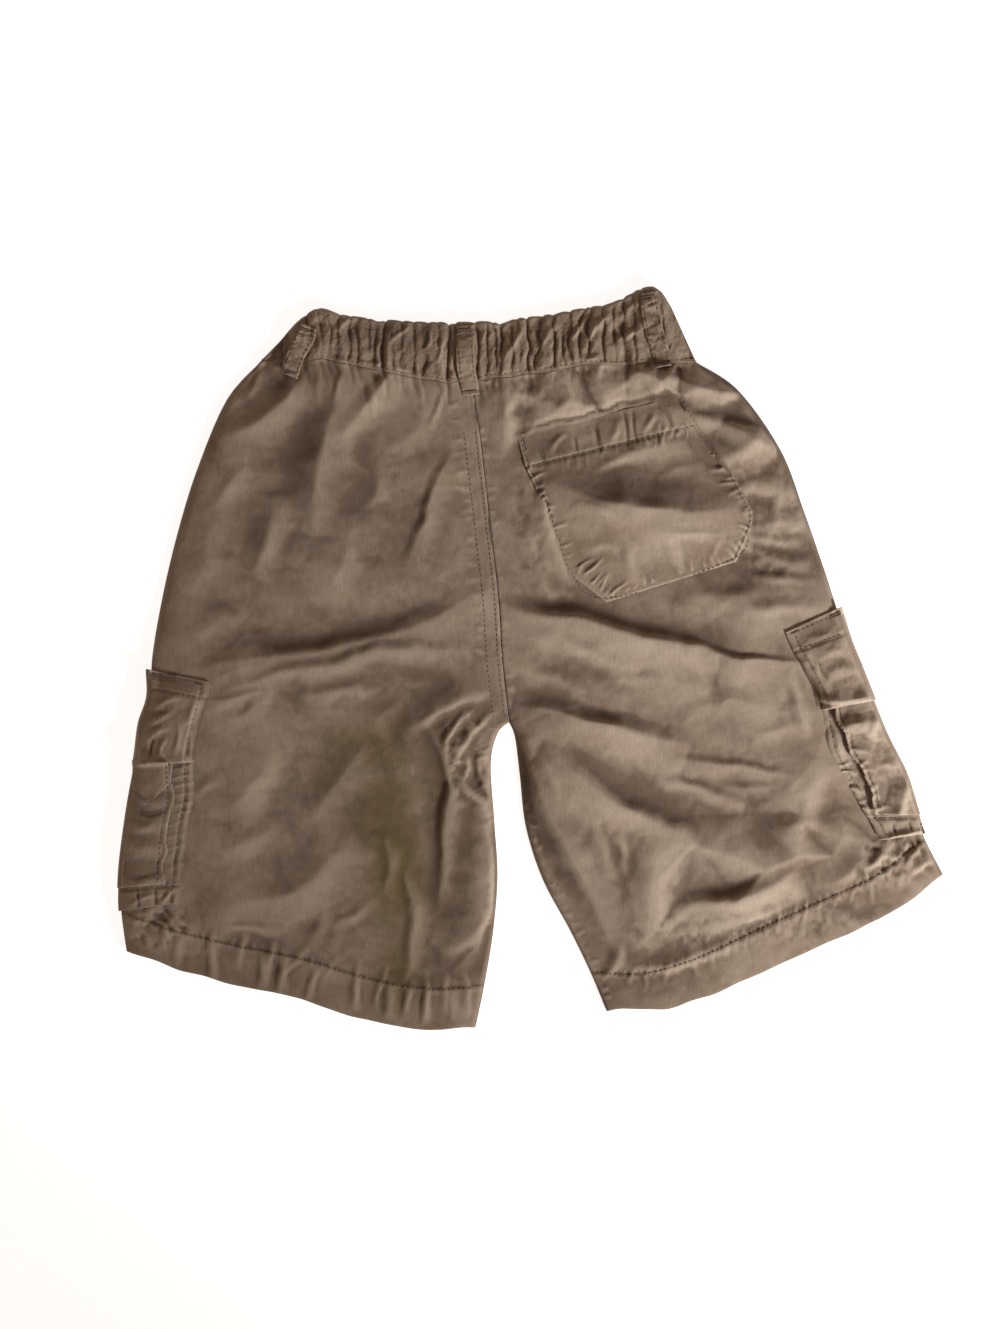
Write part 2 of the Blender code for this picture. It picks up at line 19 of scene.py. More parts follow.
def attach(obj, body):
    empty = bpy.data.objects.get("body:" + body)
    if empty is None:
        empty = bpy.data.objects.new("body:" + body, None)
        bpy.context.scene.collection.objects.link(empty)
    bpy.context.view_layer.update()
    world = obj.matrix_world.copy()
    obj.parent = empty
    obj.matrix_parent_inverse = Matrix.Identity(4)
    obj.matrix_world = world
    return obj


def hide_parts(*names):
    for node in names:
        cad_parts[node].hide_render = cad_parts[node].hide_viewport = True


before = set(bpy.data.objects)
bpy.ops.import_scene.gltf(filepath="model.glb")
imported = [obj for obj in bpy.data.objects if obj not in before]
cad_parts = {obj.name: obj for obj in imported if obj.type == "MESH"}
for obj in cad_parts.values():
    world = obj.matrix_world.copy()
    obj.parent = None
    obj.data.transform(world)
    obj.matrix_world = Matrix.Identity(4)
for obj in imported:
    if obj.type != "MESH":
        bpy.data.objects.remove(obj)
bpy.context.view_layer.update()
print("solids:", sorted(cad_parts))

# %% [markdown]
# ## The camera, the table and the lights
#
# The camera looks straight down, so the shorts keep their true outline. A long lens far away keeps the
# raised folds from leaning outwards. The table is a matt white that glows a little, which keeps the ground
# pale right up to the cloth. A soft cool key light stands low beyond the right leg, and its beam is narrow
# enough to leave the left leg in the half-light. The warm light of the room fills the shadows. Low light is
# what makes creases readable.

# %% Camera
MM = 0.001
PICTURE_HEIGHT = 864.0  # mm of table that the tall side of the picture takes in
PICTURE_CENTRE = (-6.5, -3.1)  # mm
PICTURE_TURN = -5.0  # degrees, because the shorts lie slightly askew
LENS, SENSOR = 70.0, 36.0
MIDDLE_OF_CLOTH = 6.0  # mm above the table, where the picture's height is measured
CLIP_START, CLIP_END = 0.1, 10.0  # metres


def new_object(name, data):
    """A new object in the scene, with its camera, light or mesh."""
    made = bpy.data.objects.new(name, data)
    bpy.context.scene.collection.objects.link(made)
    return made


camera_data = bpy.data.cameras.new("camera")
camera_data.lens, camera_data.sensor_width = LENS, SENSOR
camera_data.clip_start, camera_data.clip_end = CLIP_START, CLIP_END
camera = new_object("camera", camera_data)
camera_height = PICTURE_HEIGHT * LENS / SENSOR + MIDDLE_OF_CLOTH
camera.location = [distance * MM for distance in (*PICTURE_CENTRE, camera_height)]
camera.rotation_euler = (0, 0, math.radians(PICTURE_TURN))
bpy.context.scene.camera = camera
bpy.context.scene.view_settings.view_transform = "Standard"
print("camera stands", round(camera.location.z, 3), "m above the table")


# %% Colours and nodes
def colour(hex_value):
    """A colour as a linear RGBA tuple, from its sRGB hex value."""
    channels = [int(hex_value[k:k + 2], 16) / 255 for k in (1, 3, 5)]
    return (*[c / 12.92 if c <= 0.04045 else ((c + 0.055) / 1.055) ** 2.4 for c in channels], 1.0)


def add_node(material, kind, links=None, **settings):
    """Adds one node to a material. Settings name its properties or inputs, and links say what feeds them."""
    node = material.node_tree.nodes.new(kind)
    for name, value in settings.items():
        if hasattr(node, name):
            setattr(node, name, value)
        else:
            node.inputs[name.replace("_", " ")].default_value = value
    for name, source in (links or {}).items():
        socket = node.inputs[name] if isinstance(name, int) else node.inputs[name.replace("_", " ")]
        material.node_tree.links.new(source, socket)
    return node


def new_material(name):
    """An empty material and its output node."""
    material = bpy.data.materials.new(name)
    material.use_nodes = True
    material.node_tree.nodes.clear()
    return material, add_node(material, "ShaderNodeOutputMaterial")


# %% Table, key light and room light
TABLE_SIZE = 6.0  # metres
TABLE_GAP = 0.0002  # metres below the cloth, so that the two don't share a surface
TABLE_GLOW = 0.78
KEY_PLACE, KEY_AIM = (0.98, -1.20, 0.59), (0.14, 0.01, 0.0)  # metres
KEY_WATTS, KEY_SIZE, KEY_SPREAD = 2.75, 0.30, 38.0  # the size in metres, the spread in degrees
KEY_COLOUR, ROOM_COLOUR = "#EEF5FF", "#FFEADA"
ROOM_STRENGTH = 0.25


def matt_white():
    """Painted table top. White paint scatters light evenly, so it shows no reflection of the cloth."""
    material, output = new_material("matt_white_paint")
    shader = add_node(material, "ShaderNodeBsdfPrincipled", Base_Color=colour("#F4F4F2"), Roughness=0.9)
    shader.inputs["Emission Color"].default_value = colour("#FFFFFF")
    shader.inputs["Emission Strength"].default_value = TABLE_GLOW
    material.node_tree.links.new(shader.outputs[0], output.inputs[0])
    return material


def table_top():
    half = TABLE_SIZE / 2
    corners = [(-half, -half, 0), (half, -half, 0), (half, half, 0), (-half, half, 0)]
    mesh = bpy.data.meshes.new("table_top")
    mesh.from_pydata(corners, [], [(0, 1, 2, 3)])
    mesh.materials.append(matt_white())
    table = new_object("table_top", mesh)
    table.location.z = -TABLE_GAP


def key_light():
    light = bpy.data.lights.new("key_light", "AREA")
    light.energy, light.size, light.spread = KEY_WATTS, KEY_SIZE, math.radians(KEY_SPREAD)
    light.color = colour(KEY_COLOUR)[:3]
    key = new_object("key_light", light)
    key.location = KEY_PLACE
    key.rotation_euler = (Vector(KEY_AIM) - Vector(KEY_PLACE)).to_track_quat("-Z", "Y").to_euler()


def room_light():
    world = bpy.data.worlds.new("room")
    world.use_nodes = True
    background = world.node_tree.nodes["Background"]
    background.inputs["Color"].default_value = colour(ROOM_COLOUR)
    background.inputs["Strength"].default_value = ROOM_STRENGTH
    bpy.context.scene.world = world


table_top()
key_light()
room_light()
print("key light", KEY_WATTS, "W at", KEY_PLACE)

# %% [markdown]
# ## Curves, noise and creases
#
# A crease is a ridge or a trough along a line, with a steep flank and a gentle one. It could be sculpted,
# or painted as a bump, but a short table of lines with their height and their two widths is easier to read
# and to change, and it moves the mesh itself. The same function serves the large folds and the finest
# puckers. It takes points as a list or as a grid: only the last axis, which holds x and y, matters.

# %% Curves
Crease = namedtuple("Crease", "rise left_width right_width path")


def creases(*rows):
    """Creases from rows of numbers: the rise, the widths of the two flanks, then the points of the line."""
    return [Crease(*row[:3], list(row[3:])) for row in rows]


def rows_of(kind, table):
    """Gives the numbers in each row of a table their names."""
    return [kind(*row) for row in table]


def smooth_rows(table, at):
    """Values at the fractional row numbers in at, on a Catmull-Rom curve through a table's rows."""
    table = np.asarray(table, float)
    at = np.clip(np.asarray(at, float), 0, len(table) - 1)
    i = np.minimum(at.astype(int), len(table) - 2)
    t = (at - i)[:, None]
    p0, p1 = table[np.maximum(i - 1, 0)], table[i]
    p2, p3 = table[i + 1], table[np.minimum(i + 2, len(table) - 1)]
    return 0.5 * (
        2 * p1 + (p2 - p0) * t + (2 * p0 - 5 * p1 + 4 * p2 - p3) * t**2 + (3 * p1 - p0 - 3 * p2 + p3) * t**3
    )


def between(ends, across):
    """Points at the given shares between both ends (x, y, x, y) of each line."""
    return ends[:, None, :2] * (1 - across)[None, :, None] + ends[:, None, 2:] * across[None, :, None]


def smoothstep(low, high, value):
    t = np.clip((value - low) / (high - low), 0, 1)
    return t * t * (3 - 2 * t)


def hump(value, place, width):
    """A soft hump, 1 where the value is at the place and fading over the width on both sides of it."""
    return np.exp(-((value - place) / width) ** 2)


def nearest_on(path, points):
    """For each point, its distance from the path, its side (1 left, -1 right) and its share along it."""
    path = np.asarray(path, float)
    best = np.full(points.shape[:-1], np.inf)
    side, along = np.ones(best.shape), np.zeros(best.shape)
    lengths = np.linalg.norm(np.diff(path, axis=0), axis=1)
    starts = np.concatenate([[0], np.cumsum(lengths)])
    for k, length in enumerate(lengths):
        run = path[k + 1] - path[k]
        off = points - path[k]
        t = np.clip(off @ run / length**2, 0, 1)
        gap = off - t[..., None] * run
        distance = np.hypot(gap[..., 0], gap[..., 1])
        closer = distance < best
        best[closer] = distance[closer]
        side[closer] = np.sign(run[0] * off[closer, 1] - run[1] * off[closer, 0])
        along[closer] = (starts[k] + t[closer] * length) / starts[-1]
    return best, side, along


def even_points(path, spacing, smooth=True):
    """Points every spacing millimetres along a path, on a smooth curve through its points."""
    path = np.asarray(path, float)
    if smooth and len(path) > 2:
        path = smooth_rows(path, np.linspace(0, len(path) - 1, 8 * len(path)))
    run = np.concatenate([[0], np.cumsum(np.linalg.norm(np.diff(path, axis=0), axis=1))])
    at = np.arange(0, run[-1], spacing)
    return np.column_stack([np.interp(at, run, path[:, k]) for k in range(path.shape[1])])


# %% Creases
CREST_ROUND = 0.7  # mm, so that no crest is a knife edge
STEEP_POWER, GENTLE_POWER = 1.7, 2.2  # how suddenly each flank falls away
GENTLE_LEVEL = 2.2  # how long the gentle flank keeps the height of the crest
END_POWER, END_SPREAD = 0.9, 1.25  # how a crease fades out and widens towards its ends
SEARCH_SPREAD = 1.3  # no crease reaches further than this share of its wider flank
LEAN_SPREAD = 12  # degrees by which puckers lean unevenly


def crease_height(creases, points):
    """Height that the creases add at each point.

    The flank on the left of a line falls away at once, which puts it in shade with a crisp upper edge. The
    flank on its right leaves the crest level and sinks gently. Both fade out towards the ends of the line.
    """
    height = np.zeros(points.shape[:-1])
    for crease in creases:
        path = np.asarray(crease.path, float)
        if len(path) > 2:
            path = smooth_rows(path, np.linspace(0, len(path) - 1, 4 * len(path)))
        reach = SEARCH_SPREAD * max(crease.left_width, crease.right_width)
        near = np.all((points > path.min(0) - reach) & (points < path.max(0) + reach), axis=-1)
        if not near.any():
            continue
        distance, side, along = nearest_on(path, points[near])
        fade = np.sin(np.pi * along) ** END_POWER
        spread = END_SPREAD - (END_SPREAD - 1) * fade
        past_crest = np.hypot(distance, CREST_ROUND) - CREST_ROUND
        steep = np.clip(past_crest / (crease.left_width * spread), 0, 1)
        gentle = np.clip(distance / (crease.right_width * spread), 0, 1)
        gentle_flank = (1 - gentle) ** GENTLE_POWER * (1 + GENTLE_LEVEL * gentle)
        flank = np.where(side > 0, (1 - steep) ** STEEP_POWER, gentle_flank)
        height[near] += crease.rise * fade * flank
    return height


def wander(points, reach, size, seed):
    """Moves points about by up to reach millimetres, so that what is drawn through them isn't straight."""
    return points + reach * np.stack([noise(points, size, seed), noise(points, size, seed + 1)], axis=-1)


def puckers(line, spacing, length, lean, rise, width, seed, both=0.0):
    """Short creases that the thread draws up beside a line of stitching.

    They start on the line and run off to its left, at lean degrees from square, with uneven lengths and gaps.
    both is the share of their length that they also reach on the other side.
    """
    random = np.random.default_rng(seed)
    points = even_points(line, 0.5)
    made, at = [], random.uniform(0.3, 1.0) * spacing
    while at < 0.5 * (len(points) - 2):
        i = int(at / 0.5)
        along = points[i + 1] - points[i]
        along = along / np.hypot(*along)
        turn = math.radians(lean + random.normal(0, LEAN_SPREAD))
        square = np.array([-along[1], along[0]])
        out = square * math.cos(turn) + along * math.sin(turn)
        run = length * random.uniform(0.5, 1.3)
        w = width * random.uniform(0.7, 1.3)
        start = points[i] - out * (run * both)
        end = points[i] + out * run
        made.append(Crease(rise * random.uniform(0.5, 1.2), w, w, [tuple(start), tuple(end)]))
        at += spacing * random.uniform(0.55, 1.5)
    return made


LATTICE = 64  # random values each way, before they repeat
LATTICE_START, FACETS_START = 20.37, 17.2  # the place in the lattice that lies at the origin
TRIANGLE_SKEW = 0.366  # turns a lattice of squares into one of even triangles
FACET_WARP = 0.42


def lattice_corners(at, seed):
    """Random values at the four corners of the lattice cell around each place, and its shares across."""
    heights = np.random.default_rng(seed).uniform(-1, 1, (LATTICE, LATTICE))
    cell = np.floor(at).astype(int)
    i, j = cell[..., 0] % LATTICE, cell[..., 1] % LATTICE
    next_i, next_j = (i + 1) % LATTICE, (j + 1) % LATTICE
    return heights[i, j], heights[next_i, j], heights[i, next_j], heights[next_i, next_j], at - cell


def noise(points, size, seed):
    """Smooth noise from -1 to 1, whose bumps are about size millimetres apart."""
    here, right, above, opposite, t = lattice_corners(points / size + LATTICE_START, seed)
    t = t * t * (3 - 2 * t)
    low = here * (1 - t[..., 0]) + right * t[..., 0]
    high = above * (1 - t[..., 0]) + opposite * t[..., 0]
    return low * (1 - t[..., 1]) + high * t[..., 1]


def facets(points, size, seed, stretch=1.0, turn=0.0):
    """Flat facets with creases between them, as in crumpled cotton: triangles with random corner heights.

    They are about size millimetres wide, stretched along a direction that is turn degrees from level, and
    a warp makes them uneven.
    """
    c, s = math.cos(math.radians(turn)), math.sin(math.radians(turn))
    x, y = points[..., 0], points[..., 1]
    at = np.stack([(x * c + y * s) / stretch, y * c - x * s], axis=-1)
    warp = np.stack([noise(points, 1.4 * size, seed + k) for k in (1, 2)], axis=-1)
    at = at / size + FACET_WARP * warp
    skewed = at + TRIANGLE_SKEW * at.sum(axis=-1, keepdims=True) + FACETS_START
    here, right, above, opposite, t = lattice_corners(skewed, seed)
    near, far = t.max(axis=-1), t.min(axis=-1)
    corner = np.where(t[..., 0] > t[..., 1], right, above)
    return here * (1 - near) + corner * (near - far) + opposite * far


def crumple(points, size, seed, stretch=1.0, turn=0.0):
    """The crumple of washed cotton: facets in three sizes."""
    large = facets(points, size, seed, stretch, turn)
    middling = facets(points, 0.42 * size, seed + 5, stretch, turn)
    return large + 0.42 * middling + 0.16 * facets(points, 0.18 * size, seed + 9)


# %% [markdown]
# ## A thin sheet of cloth
#
# Real twill is about half a millimetre thick. A single surface would look right from above, but its raw
# edges would have no thickness, so every sheet is closed: outer points, inner points under them, and a rim
# that joins the two. Both are grids of rows and columns, which lets numpy work out all the faces at once.

# %% Sheets
CLOTH = 0.55  # mm


def grid_faces(rows, columns, cells):
    """Faces of a closed sheet over the cells that are True. The inner points are numbered after the outer."""
    count = rows * columns
    index = np.arange(count).reshape(rows, columns)
    corners = np.stack([index[:-1, :-1], index[:-1, 1:], index[1:, 1:], index[1:, :-1]], axis=-1)
    faces = [corners[cells], corners[cells][:, ::-1] + count]
    padded = np.pad(cells, 1)
    for k, (down, over) in enumerate([(-1, 0), (0, 1), (1, 0), (0, -1)]):
        beyond = padded[1 + down:rows + down, 1 + over:columns + over]
        p, q = corners[cells & ~beyond][:, k], corners[cells & ~beyond][:, (k + 1) % 4]
        faces.append(np.stack([p + count, q + count, q, p], axis=-1))
    return np.concatenate(faces)


def cloth_sheet(name, outer, inner, marks=None, cells=None):
    """A closed sheet between two grids of points in millimetres. marks are named values for its material."""
    rows, columns = outer.shape[:2]
    cells = np.ones((rows - 1, columns - 1), bool) if cells is None else cells
    faces = grid_faces(rows, columns, cells)
    i, j = np.argwhere(cells)[0]
    turn = np.cross(outer[i, j + 1] - outer[i, j], outer[i + 1, j] - outer[i, j])
    if turn @ (outer[i, j] - inner[i, j]) < 0:
        faces = faces[:, ::-1]
    used, faces = np.unique(faces, return_inverse=True)
    points = np.concatenate([outer.reshape(-1, 3), inner.reshape(-1, 3)])[used] * MM
    faces = faces.reshape(-1, 4)
    mesh = bpy.data.meshes.new(name)
    mesh.vertices.add(len(points))
    mesh.vertices.foreach_set("co", points.astype(np.float32).ravel())
    mesh.loops.add(faces.size)
    mesh.loops.foreach_set("vertex_index", faces.astype(np.int32).ravel())
    mesh.polygons.add(len(faces))
    mesh.polygons.foreach_set("loop_start", np.arange(0, faces.size, 4, dtype=np.int32))
    mesh.update(calc_edges=True)
    mesh.validate()
    mesh.shade_smooth()
    for mark, values in (marks or {}).items():
        both = np.concatenate([values.ravel(), values.ravel()])[used]
        mesh.attributes.new(mark, "FLOAT", "POINT").data.foreach_set("value", both.astype(np.float32))
    return new_object(name, mesh)


def with_height(plan, height):
    return np.concatenate([plan, np.broadcast_to(height, plan.shape[:2])[:, :, None]], axis=2)


def blurred(grid, reach):
    """A grid with each value replaced by the average of those up to reach cells away, twice over."""
    for _ in range(2):
        for _ in range(2):
            padded = np.pad(grid, ((reach + 1, reach), (0, 0)), mode="edge")
            total = np.cumsum(padded, axis=0)
            grid = ((total[2 * reach + 1:] - total[:-2 * reach - 1]) / (2 * reach + 1)).T
    return grid


WEAR_AND_SHADE_REACHES = ((1, 3.0), (5, 0.50), (13, 0.26))  # cells around a point, and how much they count


def worn(height):
    """How far each point of a grid stands above the cloth around it, shown as rubbed wear, and how far it
    sinks below it, shown as painted shade; both from 0 to 1.
    """
    stands = sum(strength * (height - blurred(height, reach)) for reach, strength in WEAR_AND_SHADE_REACHES)
    return np.clip(stands, 0, 1), np.clip(-stands, 0, 1)


def dress(piece, material, slot, *nodes):
    """Puts a piece in the frame: it rides on the root, stands for its solids and has its material."""
    piece.data.materials.append(material)
    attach(piece, "root")
    if nodes:
        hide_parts(*nodes)
    return piece


print("helpers ready")

# %% [markdown]
# ## Washed cotton twill
#
# Twill is woven so that each weft thread passes over two warps and under one, one step further along in
# each row. That draws fine diagonal ribs, about 0.7 mm apart in trouser cloth. Piece-dyed khaki fades where
# it is rubbed: on crests, hems and seam edges. Cotton has no gloss, only a faint soft sheen from its surface
# fibres. The sheets carry four marks that the colour reads. One is rubbed wear, with a painted highlight
# along the top edge of the waistband. One is painted shade: in hollows and creases, on the steep flank of
# each large fold, in the valleys of the gathers, in the gap behind the seat pocket's mouth, around the tab's
# point and in listed patches. One is a paler tone, painted as pools of light in listed patches and laid all
# over the tab. The last is real stains.

# %% Cotton twill
RIB_SPACING = 1.3  # mm, drawn about twice as coarse as the real 0.7 mm rib, which would not show
RIB_TURN = 27  # degrees
SLUB_LENGTH, SLUB_WIDTH = 9.0, 0.9  # mm, the uneven thick stretches of a cotton yarn
NAP_SIZE = 2.2  # mm, the fine pebbling that washing leaves
MOTTLE_SIZE = 28.0  # mm, the cloudiness of a garment wash
RIB_DEPTH, NAP_DEPTH, SLUB_DEPTH = 0.08, 0.22, 0.10  # mm
RUBBED_AND_HIGHLIGHT, FIBRE_SHEEN = "#B09C86", "#E8E0D4"


def wave_scale(spacing):
    """Scale of a Wave texture whose bands are spacing millimetres apart."""
    return 2 * math.pi / (20 * spacing * MM)


def cotton_twill(name, base, faded_and_painted_light, painted_dark, stain):
    """Piece-dyed cotton twill, garment-washed. It is matt and mottled, and fades on its edges. Its colour
    also takes painted shade, painted pools of light and a painted highlight from the marks on each sheet.
    """
    material, output = new_material(name)
    shader = add_node(material, "ShaderNodeBsdfPrincipled", Roughness=0.92, IOR=1.45)
    for name_of_input, value in (("Sheen Weight", 0.12), ("Sheen Roughness", 0.6),
                                 ("Sheen Tint", colour(FIBRE_SHEEN)), ("Specular IOR Level", 0.25)):
        shader.inputs[name_of_input].default_value = value
    place = add_node(material, "ShaderNodeTexCoord").outputs["Object"]

    def mark(called):
        return add_node(material, "ShaderNodeAttribute", attribute_name=called).outputs["Fac"]

    def mixed(amount, below, above):
        mix = add_node(material, "ShaderNodeMix", {0: amount}, data_type="RGBA")
        for socket, value in ((6, below), (7, above)):
            if isinstance(value, tuple):
                mix.inputs[socket].default_value = value
            else:
                material.node_tree.links.new(value, mix.inputs[socket])
        return mix.outputs[2]

    def scaled(value, low, high, to_low, to_high):
        ramp = add_node(material, "ShaderNodeMapRange", {0: value})
        for k, limit in enumerate((low, high, to_low, to_high)):
            ramp.inputs[k + 1].default_value = limit
        return ramp.outputs[0]

    mottle = add_node(material, "ShaderNodeTexNoise", {"Vector": place}, Scale=1 / (MOTTLE_SIZE * MM),
                      Detail=5, Roughness=0.62)
    along = add_node(material, "ShaderNodeMapping", {"Vector": place})
    along.inputs["Scale"].default_value = (1 / (SLUB_WIDTH * MM), 1 / (SLUB_LENGTH * MM), 300)
    slubs = add_node(material, "ShaderNodeTexNoise", {"Vector": along.outputs[0]}, Scale=1.0, Detail=2)
    nap = add_node(material, "ShaderNodeTexNoise", {"Vector": place}, Scale=1 / (NAP_SIZE * MM), Detail=3)

    tone = mixed(scaled(mottle.outputs[0], 0.3, 0.7, 0, 1), colour(base), colour(faded_and_painted_light))
    # Paler in the patches of painted light, and on the tab
    tone = mixed(mark("faded_and_painted_light"), tone, colour(faded_and_painted_light))
    tone = mixed(mark("stained"), tone, colour(stain))
    # Painted shade mixes the colour towards the dark tone
    tone = mixed(scaled(mark("painted_shade"), 0, 1, 0, 0.75), tone, colour(painted_dark))
    # Rubbed wear, with the painted highlight along the waistband's top edge, mixes towards a paler tone
    tone = mixed(scaled(mark("worn"), 0, 1, 0, 0.45), tone, colour(RUBBED_AND_HIGHLIGHT))
    grain = scaled(slubs.outputs[0], 0.25, 0.75, 0.90, 1.08)
    speck = scaled(nap.outputs[0], 0.25, 0.75, 0.94, 1.06)
    together = add_node(material, "ShaderNodeMath", {0: grain, 1: speck}, operation="MULTIPLY").outputs[0]
    shade = add_node(material, "ShaderNodeCombineColor", {0: together, 1: together, 2: together}).outputs[0]
    full = add_node(material, "ShaderNodeMix", {6: tone, 7: shade}, data_type="RGBA", blend_type="MULTIPLY")
    full.inputs[0].default_value = 1.0
    material.node_tree.links.new(full.outputs[2], shader.inputs["Base Color"])

    turned = add_node(material, "ShaderNodeMapping", {"Vector": place})
    turned.inputs["Rotation"].default_value = (0, 0, math.radians(RIB_TURN))
    ribs = add_node(material, "ShaderNodeTexWave", {"Vector": turned.outputs[0]},
                    Scale=wave_scale(RIB_SPACING), Distortion=1.5, Detail=1.0)
    relief = {}
    for height, strength, depth in ((ribs.outputs[1], 0.35, RIB_DEPTH), (nap.outputs[0], 0.5, NAP_DEPTH),
                                    (slubs.outputs[0], 0.4, SLUB_DEPTH)):
        bump = add_node(material, "ShaderNodeBump", {"Height": height, **relief}, Strength=strength,
                        Distance=depth * MM)
        relief = {"Normal": bump.outputs[0]}
    material.node_tree.links.new(relief["Normal"], shader.inputs["Normal"])
    material.node_tree.links.new(scaled(mottle.outputs[0], 0.3, 0.7, 0.88, 0.97), shader.inputs["Roughness"])
    material.node_tree.links.new(shader.outputs[0], output.inputs[0])
    return material


twill = cotton_twill("khaki_cotton_twill", base="#836C57", faded_and_painted_light="#9C8873", painted_dark="#54402F", stain="#6A5836")
trim_twill = cotton_twill("khaki_cotton_twill_double", base="#806A55", faded_and_painted_light="#927C67", painted_dark="#4D3A2A",
                          stain="#6A5836")
TWILL, TRIM = (twill, "khaki_twill"), (trim_twill, "khaki_twill_trim")  # each with the name of its slot


def cloth_piece(node, plan, outer, inner, marks, cloth, name=""):
    """A sheet of cloth over a grid in plan, named for the solid that it stands for."""
    name = "cloth_" + (name or node)
    return dress(cloth_sheet(name, with_height(plan, outer), with_height(plan, inner), marks), *cloth, node)


# %% [markdown]
# ## Sewing thread
#
# The seams are sewn with a spun polyester thread dyed to match. It is a little smoother than the cotton and
# has not faded with it, so it reads as a slightly darker, finer line.

# %% Thread
TWIST_SIZE = 0.6  # mm


def spun_polyester(name, base):
    """Sewing thread, spun from short fibres. It catches slightly more light than the cotton does."""
    material, output = new_material(name)
    shader = add_node(material, "ShaderNodeBsdfPrincipled", Roughness=0.6, IOR=1.54)
    place = add_node(material, "ShaderNodeTexCoord").outputs["Object"]
    twist = add_node(material, "ShaderNodeTexNoise", {"Vector": place}, Scale=1 / (TWIST_SIZE * MM), Detail=2)
    ramp = add_node(material, "ShaderNodeValToRGB", {0: twist.outputs[0]})
    ramp.color_ramp.elements[0].position, ramp.color_ramp.elements[0].color = 0.3, colour("#5E4C3C")
    ramp.color_ramp.elements[1].position, ramp.color_ramp.elements[1].color = 0.7, colour(base)
    material.node_tree.links.new(ramp.outputs[0], shader.inputs["Base Color"])
    material.node_tree.links.new(shader.outputs[0], output.inputs[0])
    return material


thread = spun_polyester("khaki_polyester_thread", "#7C6854")
print("materials:", twill.name, trim_twill.name, thread.name)

# %% [markdown]
# ## The cut of the legs
#
# Each leg is one front panel and one back panel, joined at the side, the inseam and the seat seam. Laid
# flat, both have the same outline, so one table of lines across each leg gives all four. A line runs from
# the side fold to the seat seam, or to the inseam below the crotch.

# %% Outline of the legs
Section = namedtuple("Section", "place outer_x outer_y inner_x inner_y")
EdgeRow = namedtuple("EdgeRow", "share left_waist right_waist left_hem right_hem")

SEAT_SEAM = [(-9, 183), (-7, 150), (-6, 117), (-5, 80), (-4, 40), (-5, 0), (-4, -41)]
LEFT_SIDE = [(-145, 207), (-169, 184), (-192, 141), (-209, 99), (-223, 56), (-232, 19), (-234, -4)]
RIGHT_SIDE = [(138, 182), (164, 161), (188, 120), (200, 78), (209, 42), (216, 9), (220, -9)]
SEAT_PLACES = ["waist seam", "hip", "upper seat", "seat", "lower seat", "thigh", "above crotch"]


def leg_sections(side_line, lower):
    """All lines across a leg, from the waist down. Down to the crotch they end on the shared seat seam."""
    upper = [(place, *side, *seam) for place, side, seam in zip(SEAT_PLACES, side_line, SEAT_SEAM)]
    return rows_of(Section, upper + lower)


LEFT_SECTIONS = leg_sections(LEFT_SIDE, [
    ("below crotch", -241, -21, -12, -48),
    ("top of inseam", -246, -43, -18, -67),
    ("inseam", -255, -76, -19, -105),
    ("lower inseam", -262, -107, -20, -140),
    ("above hem", -265, -127, -26, -176),
    ("hem stitching", -266, -142, -35, -211),
    ("hem edge", -265, -168, -43, -238),
])
RIGHT_SECTIONS = leg_sections(RIGHT_SIDE, [
    ("below crotch", 225, -25, -1, -51),
    ("top of inseam", 231, -45, 0, -76),
    ("inseam", 239, -71, 1, -110),
    ("lower inseam", 249, -96, 9, -145),
    ("above hem", 254, -118, 24, -180),
    ("hem stitching", 259, -140, 35, -209),
    ("hem edge", 269, -165, 43, -234),
])
SECTIONS = {"left": LEFT_SECTIONS, "right": RIGHT_SECTIONS}
CROTCH = SEAT_PLACES.index("above crotch")
STITCHING = len(LEFT_SECTIONS) - 2
EDGE_ROWS = rows_of(EdgeRow, [
    (0.00, 0, 0, 0, 0),
    (0.15, 3, 0, -4, -10),
    (0.30, 5, 2, -6, -12),
    (0.50, 2, 3, -6, -14),
    (0.70, -1, 1, -10, -16),
    (0.85, -3, 0, -8, -12),
    (1.00, 0, 0, 0, 0),
])
WAIST_SECTIONS, HEM_SECTIONS = 1.5, 3.0
LEG_WIDTH = 235  # mm
FINE_EDGES = 0.012  # how much the lines gather towards both edges, where the cloth turns
WAIST_WAVE, HEM_WAVE = 1.3, 1.2  # mm, because a seam or an edge that has been washed is never quite straight
GAP = 0.3  # mm between two layers
SEAM_OPENING = 0.06  # mm, because two sheets that are sewn together all but touch


def panel_ends(side, rows):
    """Both ends of each line across a leg. The inner end turns from the seat seam to the inseam."""
    table = np.array([s[1:] for s in SECTIONS[side]], float)
    outer = smooth_rows(table[:, :2], rows)
    seam = smooth_rows(table[:CROTCH + 1, 2:], rows)
    inseam = smooth_rows(table[CROTCH:, 2:], rows - CROTCH)
    return np.concatenate([outer, np.where(rows[:, None] <= CROTCH, seam, inseam)], axis=1)


